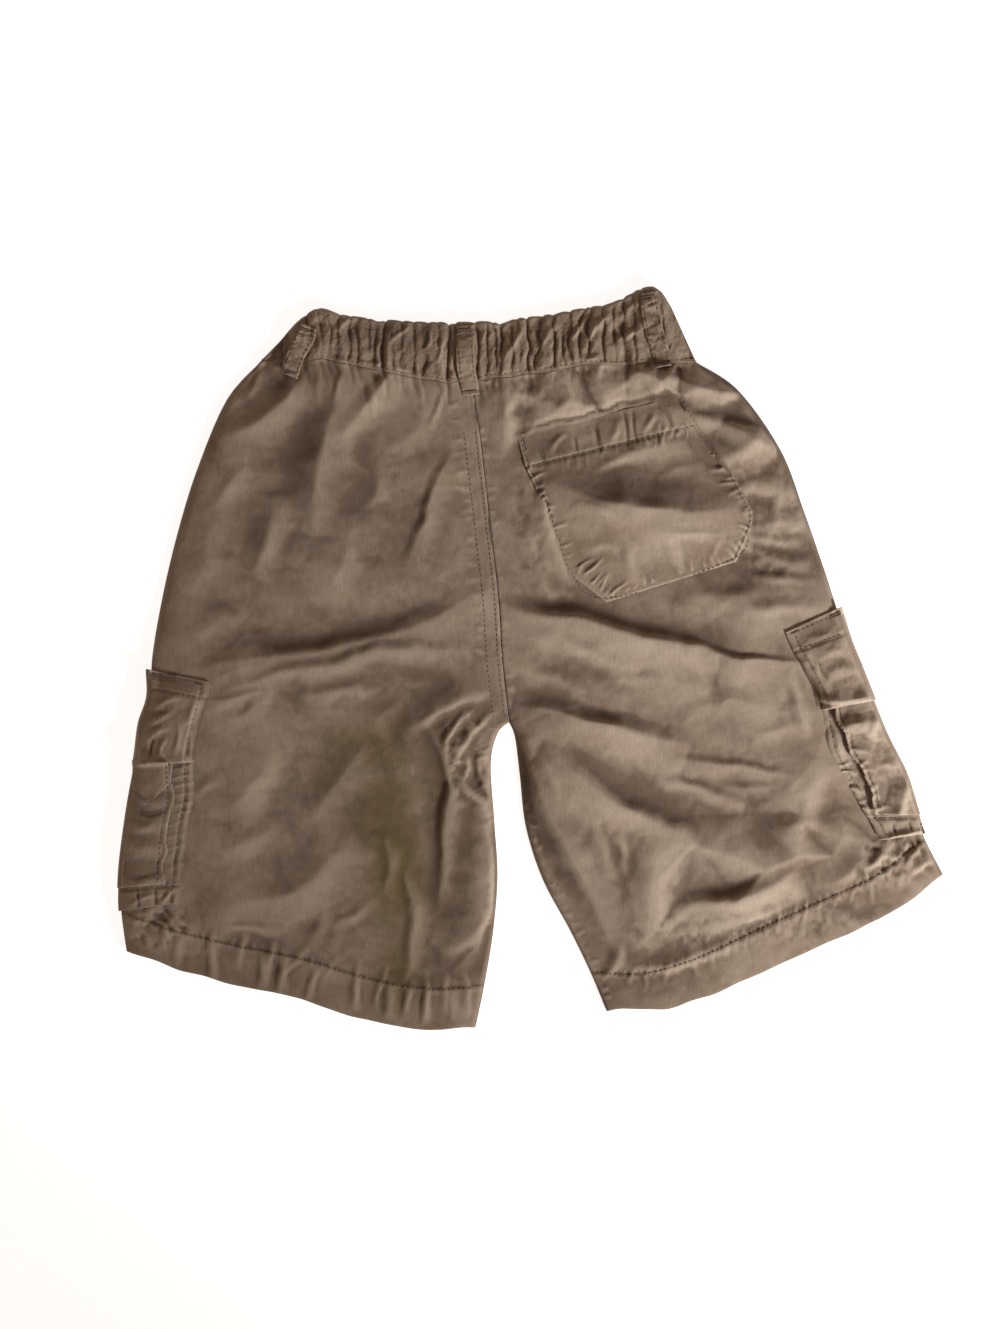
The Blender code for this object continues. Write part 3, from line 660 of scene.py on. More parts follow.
def panel_plan(side, cell):
    """A panel's points in plan, about cell millimetres apart, and the row number of each of its lines."""
    inner = panel_ends(side, np.linspace(0, STITCHING + 1, 200))[:, 2:]
    length = np.linalg.norm(np.diff(inner, axis=0), axis=1).sum()
    rows = np.linspace(0, STITCHING + 1, int(length / cell))
    ends = panel_ends(side, rows)
    ends[:, 2] += SEAM_OPENING / 2 if side == "right" else -SEAM_OPENING / 2
    across = np.linspace(0, 1, int(LEG_WIDTH / cell))
    across = across - FINE_EDGES * np.sin(2 * np.pi * across)
    plan = between(ends, across)
    edges = np.array([row[1:] for row in EDGE_ROWS], float)
    rises = smooth_rows(edges, np.interp(across, [r.share for r in EDGE_ROWS], np.arange(len(EDGE_ROWS))))
    waist, hem = (0, 2) if side == "left" else (1, 3)
    plan[:, :, 1] += (1 - smoothstep(0, WAIST_SECTIONS, rows))[:, None] * rises[None, :, waist]
    plan[:, :, 1] += smoothstep(STITCHING - HEM_SECTIONS, STITCHING, rows)[:, None] * rises[None, :, hem]
    near_waist = (1 - smoothstep(0, 0.5, rows))[:, None] * np.minimum(1, 8 * across)[None]
    below_stitching = smoothstep(STITCHING, STITCHING + 1, rows)[:, None]
    for share, size, seed in ((WAIST_WAVE * near_waist, 10, 29), (HEM_WAVE * below_stitching, 15, 30)):
        plan[:, :, 1] += share * noise(plan * (1, 0), size, seed)
    return plan, rows


plans = {side: panel_plan(side, 1.5) for side in ("left", "right")}
print("points in a back panel:", plans["left"][0].shape[:2])


def edge_line(side, row):
    """The line across a leg at a row number of its table, for stitching and puckers."""
    plan, rows = plans[side]
    return plan[np.searchsorted(rows, row), ::6]


# %% [markdown]
# ## How the back lies on the front
#
# The back panel stands a few millimetres off the front one, and drops to it at the side folds and the
# inseams. The pockets under the front lift it a little further. The long folds come from the way the shorts
# were dropped and smoothed: they run across the seat and the legs, steep on the side away from the hem.

# %% Levels of the panels
SOLID_CLOTH = 1.2  # wall of the solid panels, whose outside the thin sheets keep to
UNDER_POCKETS = {"left": ((-212, -18), (-236, -116)), "right": ((197, -20), (229, -118))}
UNDER_LIFT, LIFT_FLAT, LIFT_END = 2.6, 42.0, 75.0  # mm of lift, and how far off it starts and ends to fade
LOFT, SIDE_ROUNDING = 3.6, 9.0  # mm of air between back and front, and how fast it opens from the sides
FOLD_SHARE = 0.9  # soft cloth stands a little lower on its folds than the wall of the solids
EDGE_ROLL = 2.6  # radius over which the sheet turns down at a side fold
# Painted shade on the steep flank of a large fold: the most, and how much for each mm of its rise
MOST_SHADE, SHADE_PER_MM = 0.8, 0.11


def outline_distance(points):
    """Distance of each point from the nearest side fold or inseam."""
    nearest = np.full(points.shape[:-1], np.inf)
    for side in SECTIONS:
        ends = panel_ends(side, np.linspace(0, STITCHING + 1, 60))
        legs = panel_ends(side, np.linspace(CROTCH, STITCHING + 1, 30))
        for line in (ends[:, :2], legs[:, 2:]):
            nearest = np.minimum(nearest, nearest_on(line, points)[0])
    return nearest


def under_lift(points):
    """How far the side pockets beneath raise the front panel."""
    lift = np.zeros(points.shape[:-1])
    for ends in UNDER_POCKETS.values():
        distance = nearest_on(ends, points)[0]
        lift = np.maximum(lift, UNDER_LIFT * (1 - smoothstep(LIFT_FLAT, LIFT_END, distance)))
    return lift


FOLDS = creases(
    (4.0, 10, 46, (-222, 8), (-180, 12), (-140, 12), (-100, 16), (-60, 27), (-30, 36), (-4, 46)),  # seat
    (4.0, 15, 26, (-182, 157), (-160, 164), (-140, 178), (-122, 192), (-106, 207)),  # left hip
    (4.8, 22, 32, (-124, 92), (-116, 132), (-109, 155), (-97, 178), (-84, 202)),  # below left waist
    (2.6, 14, 18, (-160, 68), (-150, 92), (-148, 122)),  # left seat
    (2.2, 24, 22, (-198, -88), (-180, -68), (-160, -48), (-148, -22)),  # left thigh
    (2.0, 15, 24, (-148, -96), (-132, -82), (-112, -66), (-96, -44)),  # left mid thigh
    (3.8, 26, 32, (-216, -145), (-175, -141), (-148, -134), (-128, -118), (-104, -102)),  # left hem
    (3.0, 5, 18, (-58, -160), (-55, -120), (-50, -95), (-48, -74), (-54, -50), (-58, -34)),  # left inseam
    (3.2, 24, 14, (-68, -184), (-46, -177), (-26, -162)),  # left hem corner
    (3.6, 8, 13, (92, 179), (120, 171), (154, 159)),  # under waistband
    (4.0, 10, 16, (112, 153), (135, 147), (158, 139), (188, 124)),  # right hip
    (8.4, 25, 42, (26, 115), (54, 104), (80, 95), (102, 89), (128, 85), (166, 81)),  # across seat pocket
    (7.0, 8, 40, (-6, 32), (40, 25), (70, 15), (100, 2), (138, -9)),  # under it
    (2.6, 3.5, 24, (92, 5), (130, -6), (160, -13), (198, -21)),  # its thin end
    (2.4, 30, 22, (112, 28), (150, 19), (198, 10)),  # below seat pocket
    (5.6, 9, 30, (-2, -33), (30, -39), (60, -49), (85, -60), (112, -71)),  # right thigh
    (7.6, 10, 38, (20, -60), (50, -86), (75, -102), (96, -120), (108, -134)),  # right long
    (3.4, 9, 20, (90, -173), (125, -170), (150, -165), (180, -151)),  # above right hem
    (5.2, 15, 60, (60, -206), (45, -170), (31, -138), (18, -104), (9, -70), (3, -46)),  # right inseam
)


def drifted(points):
    """The points through which the large folds are drawn, moved about so that no fold runs true."""
    return wander(wander(points, 4, 42, 33), 1.6, 13, 34)


def fold_shade(points):
    """Strength of the painted shade on the steep flank of each large fold, the side turned away from the key
    light.
    """
    painted_dark = [fold._replace(rise=min(MOST_SHADE, SHADE_PER_MM * fold.rise), right_width=2.0) for fold in FOLDS]
    return np.clip(crease_height(painted_dark, drifted(points)), 0, 1)


def fold_level(points, edge):
    """Outside of the back cloth, with its loft and its large folds but no small creases."""
    height = crease_height(FOLDS, drifted(points))
    loft = LOFT * (1 - np.exp(-edge / SIDE_ROUNDING))
    level = under_lift(points) + 2 * SOLID_CLOTH + GAP + loft
    return level + FOLD_SHARE * height * smoothstep(0, SIDE_ROUNDING, edge)

# %% [markdown]
# ## Small creases of the back
#
# Between the large folds the cloth carries dozens of smaller creases. Each is listed with its height, the
# width of its side on the left of the line, the width on the right, and its line. No two are alike: that
# unevenness is what tells washed cotton from a draped plane.

# %% Crease tables
LEFT_CREASES = creases(
    (2.0, 9, 16, (-104, 148), (-88, 158), (-76, 174), (-64, 188), (-54, 202)),
    (1.7, 5, 16, (-62, 60), (-53, 82), (-42, 105), (-34, 125), (-24, 142)),
    (1.9, 32, 22, (-124, 46), (-102, 72), (-93, 104)),
    (1.0, 14, 14, (-70, 140), (-46, 156), (-34, 182)),
    (0.9, 8, 12, (-186, 108), (-172, 128), (-158, 140)),
    (1.0, 16, 12, (-206, 60), (-190, 82), (-180, 112)),
    (0.9, 12, 12, (-208, 30), (-186, 40), (-160, 46)),
    (0.8, 8, 12, (-90, 100), (-76, 116), (-70, 140)),
    (1.8, 5, 15, (-196, -6), (-150, 2), (-110, 8), (-70, 11), (-24, 8)),
    (0.9, 4, 9, (-200, -8), (-178, -9), (-152, -9)),
    (0.7, 5, 9, (-140, -14), (-110, -10), (-80, -14)),
    (2.6, 16, 7, (-76, -44), (-54, -31), (-30, -22), (-10, -20)),
    (2.0, 5, 5, (-43, -70), (-36, -54), (-24, -42), (-8, -35)),
    (1.8, 4, 4, (-50, -60), (-40, -42), (-22, -28)),
    (-2.4, 5, 4, (-24, -92), (-29, -74), (-26, -54)),
    (2.0, 4, 5, (-22, -102), (-34, -86), (-41, -70)),
    (1.4, 3, 4, (-36, -78), (-31, -66), (-32, -56)),
    (1.2, 3, 4, (-44, -58), (-38, -62), (-32, -60)),
    (2.8, 26, 7, (-44, -184), (-29, -158), (-24, -126), (-24, -100)),
    (1.6, 5, 13, (-88, -208), (-81, -176), (-76, -150), (-78, -122)),
    (0.9, 5, 12, (-92, -150), (-88, -130), (-92, -104)),
    (0.9, 10, 14, (-96, -40), (-80, -24), (-66, -14)),
    (0.8, 5, 6, (-212, -76), (-204, -66), (-190, -62)),
    (1.0, 9, 14, (-198, -112), (-176, -104), (-152, -96)),
    (0.8, 6, 9, (-186, -24), (-168, -20), (-150, -8)),
    (0.9, 5, 9, (-130, -166), (-112, -158), (-98, -146)),
    (0.8, 4, 7, (-206, -158), (-182, -160), (-160, -160)),
    (0.8, 5, 8, (-150, -178), (-136, -166), (-130, -150)),
    (0.9, 5, 8, (-56, -200), (-44, -190), (-34, -178)),
    (1.3, 3, 4, (-250, -140), (-243, -149), (-236, -160)),
    (1.4, 3, 4, (-243, -138), (-235, -149), (-226, -161)),
    (1.0, 2, 3, (-258, -150), (-252, -156), (-250, -168)),
    (1.0, 3, 3, (-234, -142), (-228, -150), (-220, -156)),
    (1.0, 3, 4, (-262, -146), (-254, -148), (-246, -146)),
)

RIGHT_CREASES = creases(
    (-1.3, 3.0, 1.2, (16, 146), (60, 151.5), (90, 157), (128, 164)),
    (2.4, 13, 10, (8, 128), (12, 152), (10, 186)),
    (2.4, 20, 7, (46, 44), (36, 66), (31, 90), (24, 116)),
    (2.4, 12, 14, (150, 96), (172, 100), (198, 90)),
    (1.3, 7, 12, (164, 70), (184, 72), (204, 68)),
    (1.2, 4, 6, (163, 62), (182, 60), (202, 56)),
    (1.1, 6, 8, (160, 52), (180, 49), (207, 44)),
    (0.8, 4, 6, (158, 42), (176, 38), (203, 34)),
    (1.4, 6, 9, (148, 24), (180, 19), (209, 12)),
    (0.7, 6, 10, (118, 36), (142, 30), (170, 28)),
    (0.6, 7, 10, (130, 16), (150, 28), (174, 34)),
    (1.0, 8, 12, (18, 62), (26, 46), (48, 38)),
    (0.9, 6, 12, (8, 14), (34, 10), (60, -4), (84, -14)),
    (0.9, 12, 16, (50, -20), (90, -20), (128, -32)),
    (0.7, 8, 12, (8, -8), (28, -14), (50, -26)),
    (0.9, 8, 12, (106, -42), (140, -40), (172, -50)),
    (0.8, 6, 10, (148, -62), (170, -62), (192, -57)),
    (1.5, 4, 14, (92, -72), (125, -79), (163, -90), (184, -94)),
    (1.4, 4, 9, (90, -82), (116, -94), (144, -111)),
    (0.9, 4, 8, (128, -96), (150, -100), (170, -100)),
    (2.4, 24, 18, (164, -136), (183, -112), (193, -82)),
    (0.9, 8, 12, (156, -130), (186, -122), (216, -117)),
    (1.3, 10, 10, (182, -168), (204, -160), (224, -145)),
    (1.2, 6, 9, (190, -66), (184, -44), (176, -24)),
    (2.4, 20, 26, (78, -196), (80, -160), (88, -124)),
    (1.0, 8, 9, (52, -152), (48, -128), (38, -100)),
    (2.0, 9, 8, (44, -202), (72, -209), (100, -204), (136, -193)),
    (1.0, 5, 8, (94, -188), (130, -182), (164, -175)),
    (1.2, 6, 8, (42, -214), (52, -204), (56, -190)),
    (0.9, 5, 7, (20, -96), (14, -72), (4, -52)),
    (0.8, 5, 7, (60, -118), (66, -134), (62, -150)),
    (1.5, 3, 4, (240, -156), (250, -147), (260, -138)),
    (1.2, 3, 4, (244, -161), (254, -156), (266, -152)),
    (1.2, 3, 4, (226, -147), (238, -149), (249, -139)),
    (1.2, 3, 5, (214, -158), (226, -152), (236, -142)),
)

# Between the waistband and the seat pocket the cloth is pinched into flat facets that meet at these corners
Corner = namedtuple("Corner", "x y rise")
FACET_CORNERS = rows_of(Corner, [
    (0, 184, 0.3), (12, 183, 1.2), (28, 185, 0.6), (45, 183, 2.4), (58, 184, 0.6), (68, 188, 1.2),
    (80, 192, 1.8), (95, 188, 0.6), (108, 184, 0.2), (125, 182, 0.6), (138, 181, 0.0),
    (5, 172, 1.0), (20, 172, 2.2), (28, 176, 0.8), (36, 174, 2.0), (52, 177, 3.4), (62, 179, 0.4),
    (72, 174, 3.2), (92, 183, 1.4), (98, 177, 3.0), (118, 179, 0.4), (115, 170, 3.8), (135, 163, 4.2),
    (150, 168, 1.0), (152, 160, 3.8), (151, 150, 0.8), (10, 158, 0.6), (24, 158, 0.4), (32, 166, 2.6),
    (42, 166, 2.2), (46, 159, 3.4), (55, 164, 4.2), (66, 166, 0.6), (76, 165, 3.8), (92, 172, 3.0),
    (108, 161, 1.3), (117, 164, 1.2), (88, 156, 1.5), (74, 153, 1.6), (46, 150, 1.5), (30, 150, 1.6),
    (126, 161, 2.6), (133, 149, 0.6), (155, 143, 0.4), (178, 137, 0.2), (140, 112, 1.2), (158, 120, 4.2),
    (172, 127, 4.4), (184, 123, 2.4), (152, 101, 0.2), (170, 105, 0.2), (183, 113, 0.0), (142, 132, 0.6),
    (-8, 190, 0), (-8, 140, 0), (20, 138, 0), (60, 142, 0), (100, 146, 0), (126, 140, 0), (132, 100, 0),
    (150, 90, 0), (190, 98, 0), (196, 130, 0), (176, 158, 0), (150, 184, 0),
])

# The right leg has larger facets, between the long folds and the hem
LEG_CORNERS = rows_of(Corner, [
    (20, -100, 0.0), (30, -150, 0.0), (42, -186, 0.0), (36, -104, 0.2), (46, -146, 0.2), (53, -180, 0.2),
    (60, -118, 0.2), (60, -152, 0.1), (64, -186, 0.1), (80, -120, 0.9), (84, -150, 2.2), (82, -184, 0.8),
    (98, -112, 0.4), (110, -130, 3.6), (135, -143, 4.4), (155, -151, 4.6), (176, -142, 4.2),
    (206, -134, 2.4), (125, -113, 0.4), (150, -114, 0.0), (178, -119, 0.1), (206, -121, 0.3),
    (145, -102, 0.3), (178, -74, 0.3), (166, -106, 1.5), (192, -84, 1.6), (212, -112, 0.6),
    (196, -144, 2.2), (98, -160, 0.2), (128, -161, 0.5), (176, -151, 1.8), (104, -169, 1.8),
    (132, -169, 2.8), (160, -160, 3.0), (88, -190, 0.2), (130, -190, 0.0), (182, -170, 0.2),
    (212, -150, 0.6), (10, -80, 0), (60, -96, 0), (100, -96, 0), (140, -88, 0), (176, -62, 0),
    (200, -66, 0), (222, -100, 0), (226, -140, 0), (214, -162, 0), (150, -186, 0), (60, -200, 0),
    (100, -200, 0),
])

# Soft patches of colour, each row: place, half sizes, turn in degrees, strength. The stained ones are real
# stains, the faded ones are painted pools of light, and the shaded ones are painted shade
Patch = namedtuple("Patch", "x y half_x half_y turn strength")
PATCHES = {
    "stained": [
        (-86, -118, 34, 104, 4, 0.95), (-98, -52, 40, 34, -10, 0.75), (-92, -200, 26, 46, -12, 0.85),
        (-54, -104, 34, 100, -4, 0.50), (70, 74, 44, 26, 4, 0.26), (96, 132, 34, 12, 8, 0.22),
    ],
    # Painted light: paler patches that stand in for the light falling on these places
    "faded_and_painted_light": [
        (100, 126, 44, 9, 8, 0.90), (156, 12, 56, 15, -13, 0.95), (206, 8, 26, 14, 0, 0.80),
        (-244, -136, 34, 40, 0, 0.95), (-190, -112, 40, 30, 0, 0.70), (-150, -72, 34, 30, 0, 0.50),
        (-150, -112, 40, 20, 0, 0.45), (105, -10, 90, 42, -14, 0.55), (102, 66, 54, 24, 8, 0.95),
        (140, 138, 30, 14, 12, 0.60), (106, -150, 56, 26, 10, 1.00), (118, -188, 66, 26, 14, 1.00),
        (140, -45, 70, 44, -10, 0.60), (96, -82, 46, 18, -24, 0.70), (30, 100, 60, 80, 0, 0.10),
        (-190, -150, 70, 28, -10, 0.45), (-238, -80, 34, 84, -14, 0.90), (-150, -90, 60, 30, 0, 0.12),
    ],
    # Painted shade: darker patches that stand in for shade along the inseams, the folds and the waistband
    "painted_shade": [
        (18, -116, 13, 80, 19, 0.75), (-44, -120, 30, 104, -6, 1.00), (-46, -54, 34, 30, 12, 0.75),
        (-100, 12, 60, 16, 8, 0.45), (-92, 134, 20, 40, -12, 0.35), (204, 72, 18, 84, 14, 0.60),
        (186, 130, 14, 44, 26, 0.70), (34, 136, 24, 14, 6, 0.65), (150, 126, 26, 18, 10, 0.55),
        (-36, 8, 64, 24, 6, 0.50), (-150, 94, 26, 44, -12, 0.55), (-126, 142, 18, 60, -10, 0.60),
        (-100, 112, 48, 60, -6, 0.66), (-48, 84, 40, 50, 0, 0.40), (-60, 214, 56, 24, -4, 0.60),
        (-84, 8, 90, 28, 6, 0.75), (-34, -30, 66, 30, 8, 0.85), (14, -28, 34, 16, -10, 0.50),
        (-100, -68, 44, 34, 0, 0.40), (-46, -190, 46, 34, 0, 0.90), (52, 8, 44, 16, -14, 0.30),
        (52, -170, 30, 56, 4, 0.60), (204, -150, 40, 26, 10, 0.80), (202, -114, 22, 20, 0, 0.50),
        (204, 46, 30, 36, 0, 0.85), (0, 96, 22, 90, 0, 0.28), (-130, 148, 24, 44, -16, 0.30),
        (70, -152, 10, 36, 2, 0.45), (154, -130, 56, 13, 3, 0.75), (98, 104, 60, 14, -9, 0.60),
        (168, -95, 30, 10, 45, 0.40), (136, -163, 36, 6, 11, 0.70), (210, -146, 16, 18, 0, 0.50),
        (226, -174, 60, 14, 20, 0.60), (58, -222, 44, 20, 6, 0.90),
    ],
}


def patch_marks(points):
    """Strength of the painted-light, the stained and the painted-shade patches at each point."""
    marks = {}
    ragged = 1 + 0.35 * noise(points, 22, 31) + 0.15 * noise(points, 8, 32)
    for mark, table in PATCHES.items():
        total = np.zeros(points.shape[:-1])
        for patch in rows_of(Patch, table):
            turn = math.radians(patch.turn)
            off = points - (patch.x, patch.y)
            u = (off[..., 0] * math.cos(turn) + off[..., 1] * math.sin(turn)) / patch.half_x
            v = (off[..., 1] * math.cos(turn) - off[..., 0] * math.sin(turn)) / patch.half_y
            total = np.maximum(total, patch.strength * (1 - smoothstep(0.1, 1.1, np.hypot(u, v) * ragged)))
        marks[mark] = total
    return marks


def facet_height(corners, points):
    """Height of cloth pulled flat between corners, which breaks it into angular facets."""
    made = delaunay_2d_cdt([Vector((corner.x, corner.y)) for corner in corners], [], [], 0, 1e-6)
    places = np.array([tuple(place) for place in made[0]])
    rises = np.array([corners[source[0]].rise for source in made[3]])
    height = np.zeros(points.shape[:-1])
    for face in made[2]:
        a, b, c = places[list(face)]
        off, u, v = points - a, b - a, c - a
        size = u[0] * v[1] - u[1] * v[0]
        to_b = (off[..., 0] * v[1] - off[..., 1] * v[0]) / size
        to_c = (u[0] * off[..., 1] - u[1] * off[..., 0]) / size
        inside = (to_b >= 0) & (to_c >= 0) & (to_b + to_c <= 1)
        first, second, third = rises[list(face)]
        height[inside] = (first + (second - first) * to_b + (third - first) * to_c)[inside]
    return height


# %% [markdown]
# ## The back panels
#
# The elastic in the waistband gathers the top of the panels. The valleys between the gathers are what the
# eye reads, so they are what the table lists: where each crosses the top and the foot of the band, how deep
# it is, how wide, and which part of the height it covers.
#
# The sheet follows the large folds, then the small creases, then the crumple. Along every seam the thread
# is a little shorter than the cloth, so it draws up puckers: dense and slanting along the right hem, wider
# apart on the left. The centre-back seam is felled flat towards the left, which makes a band three layers
# thick.

# %% Valleys of the gathered waist
Valley = namedtuple("Valley", "top_x foot_x depth width from_share to_share")
VALLEYS = rows_of(Valley, [
    (-128, -131, 1.2, 2.2, 0.1, 1.0), (-121, -124, 0.8, 1.6, 0.0, 0.7), (-111, -116, 1.8, 2.0, 0.0, 1.0),
    (-103, -105, 0.9, 1.5, 0.3, 1.0), (-97, -100, 1.0, 1.6, 0.0, 0.8), (-91, -96, 1.3, 1.7, 0.0, 1.0),
    (-83, -87, 1.5, 1.4, 0.0, 1.0), (-79, -82, 1.0, 1.3, 0.0, 0.8), (-72, -75, 0.9, 1.2, 0.4, 1.0),
    (-67, -72, 1.5, 2.6, 0.0, 0.9), (-62, -65, 2.0, 1.6, 0.0, 1.0), (-56, -58, 0.9, 1.4, 0.0, 0.6),
    (-50, -53, 1.3, 1.6, 0.2, 1.0), (-42, -46, 1.7, 2.4, 0.0, 1.0), (-34, -40, 1.6, 1.8, 0.0, 1.0),
    (-29, -31, 0.8, 1.2, 0.5, 1.0), (-21, -24, 2.0, 1.5, 0.0, 1.0), (-16, -16, 1.2, 1.4, 0.0, 1.0),
    (-2, -4, 2.0, 1.6, 0.0, 1.0), (4, 1, 1.3, 1.4, 0.0, 0.9), (9, 6, 1.2, 1.2, 0.2, 1.0),
    (14, 9, 1.6, 1.5, 0.0, 1.0), (20, 18, 1.2, 1.4, 0.0, 0.9), (25, 24, 0.9, 1.2, 0.3, 1.0),
    (31, 29, 1.6, 1.5, 0.0, 1.0), (40, 33, 1.5, 1.6, 0.1, 1.0), (47, 46, 2.0, 1.6, 0.0, 1.0),
    (53, 52, 1.1, 1.3, 0.0, 0.7), (58, 57, 1.2, 1.4, 0.0, 1.0), (68, 62, 1.3, 1.5, 0.2, 1.0),
    (73, 68, 1.2, 1.3, 0.2, 1.0), (81, 77, 1.5, 1.6, 0.0, 1.0), (88, 86, 1.3, 2.0, 0.0, 0.9),
    (95, 92, 1.8, 2.4, 0.0, 1.0), (101, 99, 1.2, 1.8, 0.0, 1.0), (106, 112, 1.6, 1.5, 0.0, 1.0),
    (119, 116, 1.4, 1.5, 0.0, 1.0),
])


SEAM_X = -5  # where the centre seam meets the waistband
RUN_ON_DEPTH = {"left": 0.32, "right": 0.22}  # share of a valley's depth that it keeps below the band


def gathers_below(side):
    """The valleys of the waistband run on into the panel beneath it, and die out there."""
    made = []
    seam = plans[side][0][0]
    seam = seam[np.argsort(seam[:, 0])]
    for k, valley in enumerate(VALLEYS):
        if (valley.foot_x < SEAM_X) != (side == "left"):
            continue
        y = np.interp(valley.foot_x, seam[:, 0], seam[:, 1])
        run = 7 + 7 * valley.depth + 5 * math.sin(5.0 * k)
        lean = 2.5 * math.sin(3.1 * k) - 0.03 * valley.foot_x
        path = [(valley.foot_x - 0.2 * lean, y + run), (valley.foot_x, y), (valley.foot_x + lean, y - run)]
        depth = RUN_ON_DEPTH[side] * valley.depth
        made.append(Crease(-depth, 1.8 * valley.width, 1.4 * valley.width, path))
    return made


# %% Puckers along the seams
hem_lines = {"left": edge_line("left", STITCHING), "right": edge_line("right", STITCHING)[::-1]}
waist_lines = {"left": edge_line("left", 0), "right": edge_line("right", 0)[::-1]}
INSEAMS = {side: [(s.inner_x, s.inner_y) for s in SECTIONS[side][CROTCH:]] for side in SECTIONS}

HEM_PLEATS = creases(
    (1.3, 2.5, 7, (-212, -192), (-210, -178), (-207, -160)),
    (1.0, 2.5, 6, (-235, -180), (-232, -170), (-228, -156)),
    (1.1, 2.5, 7, (-181, -200), (-178, -190), (-176, -176)),
    (1.3, 2.5, 7, (-170, -206), (-166, -192), (-162, -176)),
    (1.0, 2.5, 6, (-150, -210), (-147, -198), (-143, -186)),
    (0.9, 2.5, 6, (-122, -220), (-120, -208), (-117, -196)),
    (1.2, 3.0, 8, (-100, -228), (-97, -212), (-96, -196)),
    (1.0, 2.0, 4, (-87, -224), (-86, -214), (-85, -204)),
    (1.2, 2.0, 5, (-76, -234), (-74, -220), (-73, -206)),
    (0.7, 2.0, 5, (-58, -232), (-57, -222), (-56, -210)),
)

PUCKERS = {
    "left": puckers(hem_lines["left"], 16, 13, 4, 0.7, 3.4, 1, both=1.4)
    + puckers(hem_lines["left"], 8, 5, -14, 0.3, 1.6, 2, both=0.5)
    + HEM_PLEATS
    + gathers_below("left")
    + puckers(waist_lines["left"][::-1], 15, 26, 8, 0.8, 4.5, 4)
    + puckers(SEAT_SEAM[:-2], 6.5, 12, 0, -0.75, 1.5, 5)
    + puckers([(x - 13, y) for x, y in SEAT_SEAM[:-1]][::-1], 9, 7, 10, 0.4, 2.0, 6, both=0.5)
    + puckers(INSEAMS["left"][::-1][2:], 8, 9, -20, 0.5, 2.0, 7),
    "right": puckers(hem_lines["right"], 11, 10, 22, 0.55, 2.4, 11, both=1.3)
    + puckers(hem_lines["right"], 3.6, 5.5, 34, 0.5, 1.0, 12, both=0.7)
    + puckers(hem_lines["right"], 6.5, 7, -30, 0.35, 1.2, 13, both=1.0)
    + gathers_below("right")
    + puckers(waist_lines["right"][::-1], 9, 7, -6, 0.5, 2.4, 14)
    + puckers(SEAT_SEAM, 8, 6, 0, 0.35, 1.6, 15)
    + puckers(INSEAMS["right"][2:], 8, 9, 20, 0.5, 2.0, 17),
}
print("puckers:", {side: len(made) for side, made in PUCKERS.items()})


# %% Where pockets lie on the panels
def outline_of(table):
    """The outline of a patch, from rows of its left and right ends."""
    rows = [row[1:] for row in table]
    return [(r[0], r[1]) for r in rows] + [(r[2], r[3]) for r in rows[::-1]]


def inside_share(outline, points, soft=4.0):
    """1 well inside an outline and 0 outside it, changing over soft millimetres."""
    outline = np.asarray(outline, float)
    x, y = points[..., 0], points[..., 1]
    inside = np.zeros(x.shape, bool)
    for (x1, y1), (x2, y2) in zip(outline, np.roll(outline, -1, axis=0)):
        crosses = (y1 > y) != (y2 > y)
        run = np.where(y2 == y1, 1e-9, y2 - y1)
        inside ^= crosses & (x < (x2 - x1) * (y - y1) / run + x1)
    distance = nearest_on(np.vstack([outline, outline[:1]]), points)[0]
    return np.where(inside, np.clip(distance / soft, 0, 1), 0)


PatchRow = namedtuple("PatchRow", "place left_x left_y right_x right_y")
SEAT_POCKET = rows_of(PatchRow, [
    ("mouth", 17, 145, 127, 161),
    ("hem stitching", 21, 123, 137, 141),
    ("upper", 30, 99, 153, 112),
    ("middle", 37, 72, 166, 82),
    ("corner", 42, 53, 164, 71),
    ("bottom", 66, 31, 152, 50),
])
SEAT_POCKET_OUTLINE = outline_of(SEAT_POCKET)


# %% Outside of the back cloth
Spot = namedtuple("Spot", "place x y half_x half_y height size")
CRUMPLED = rows_of(Spot, [
    ("below left pocket", -244, -152, 24, 18, 1.5, 12),
    ("below right pocket", 240, -150, 30, 20, 1.7, 12),
    ("between waist and seat pocket", 72, 170, 84, 24, 0.5, 14),
    ("right hip", 172, 80, 34, 66, 1.1, 22),
    ("crotch", -34, -62, 18, 44, 1.1, 13),
    ("beside seat pocket", 24, 90, 14, 56, 0.7, 14),
    ("right hem", 150, -186, 110, 16, 0.6, 12),
])


FACET_RISE = 1.45  # mm for 1 in the table of corners


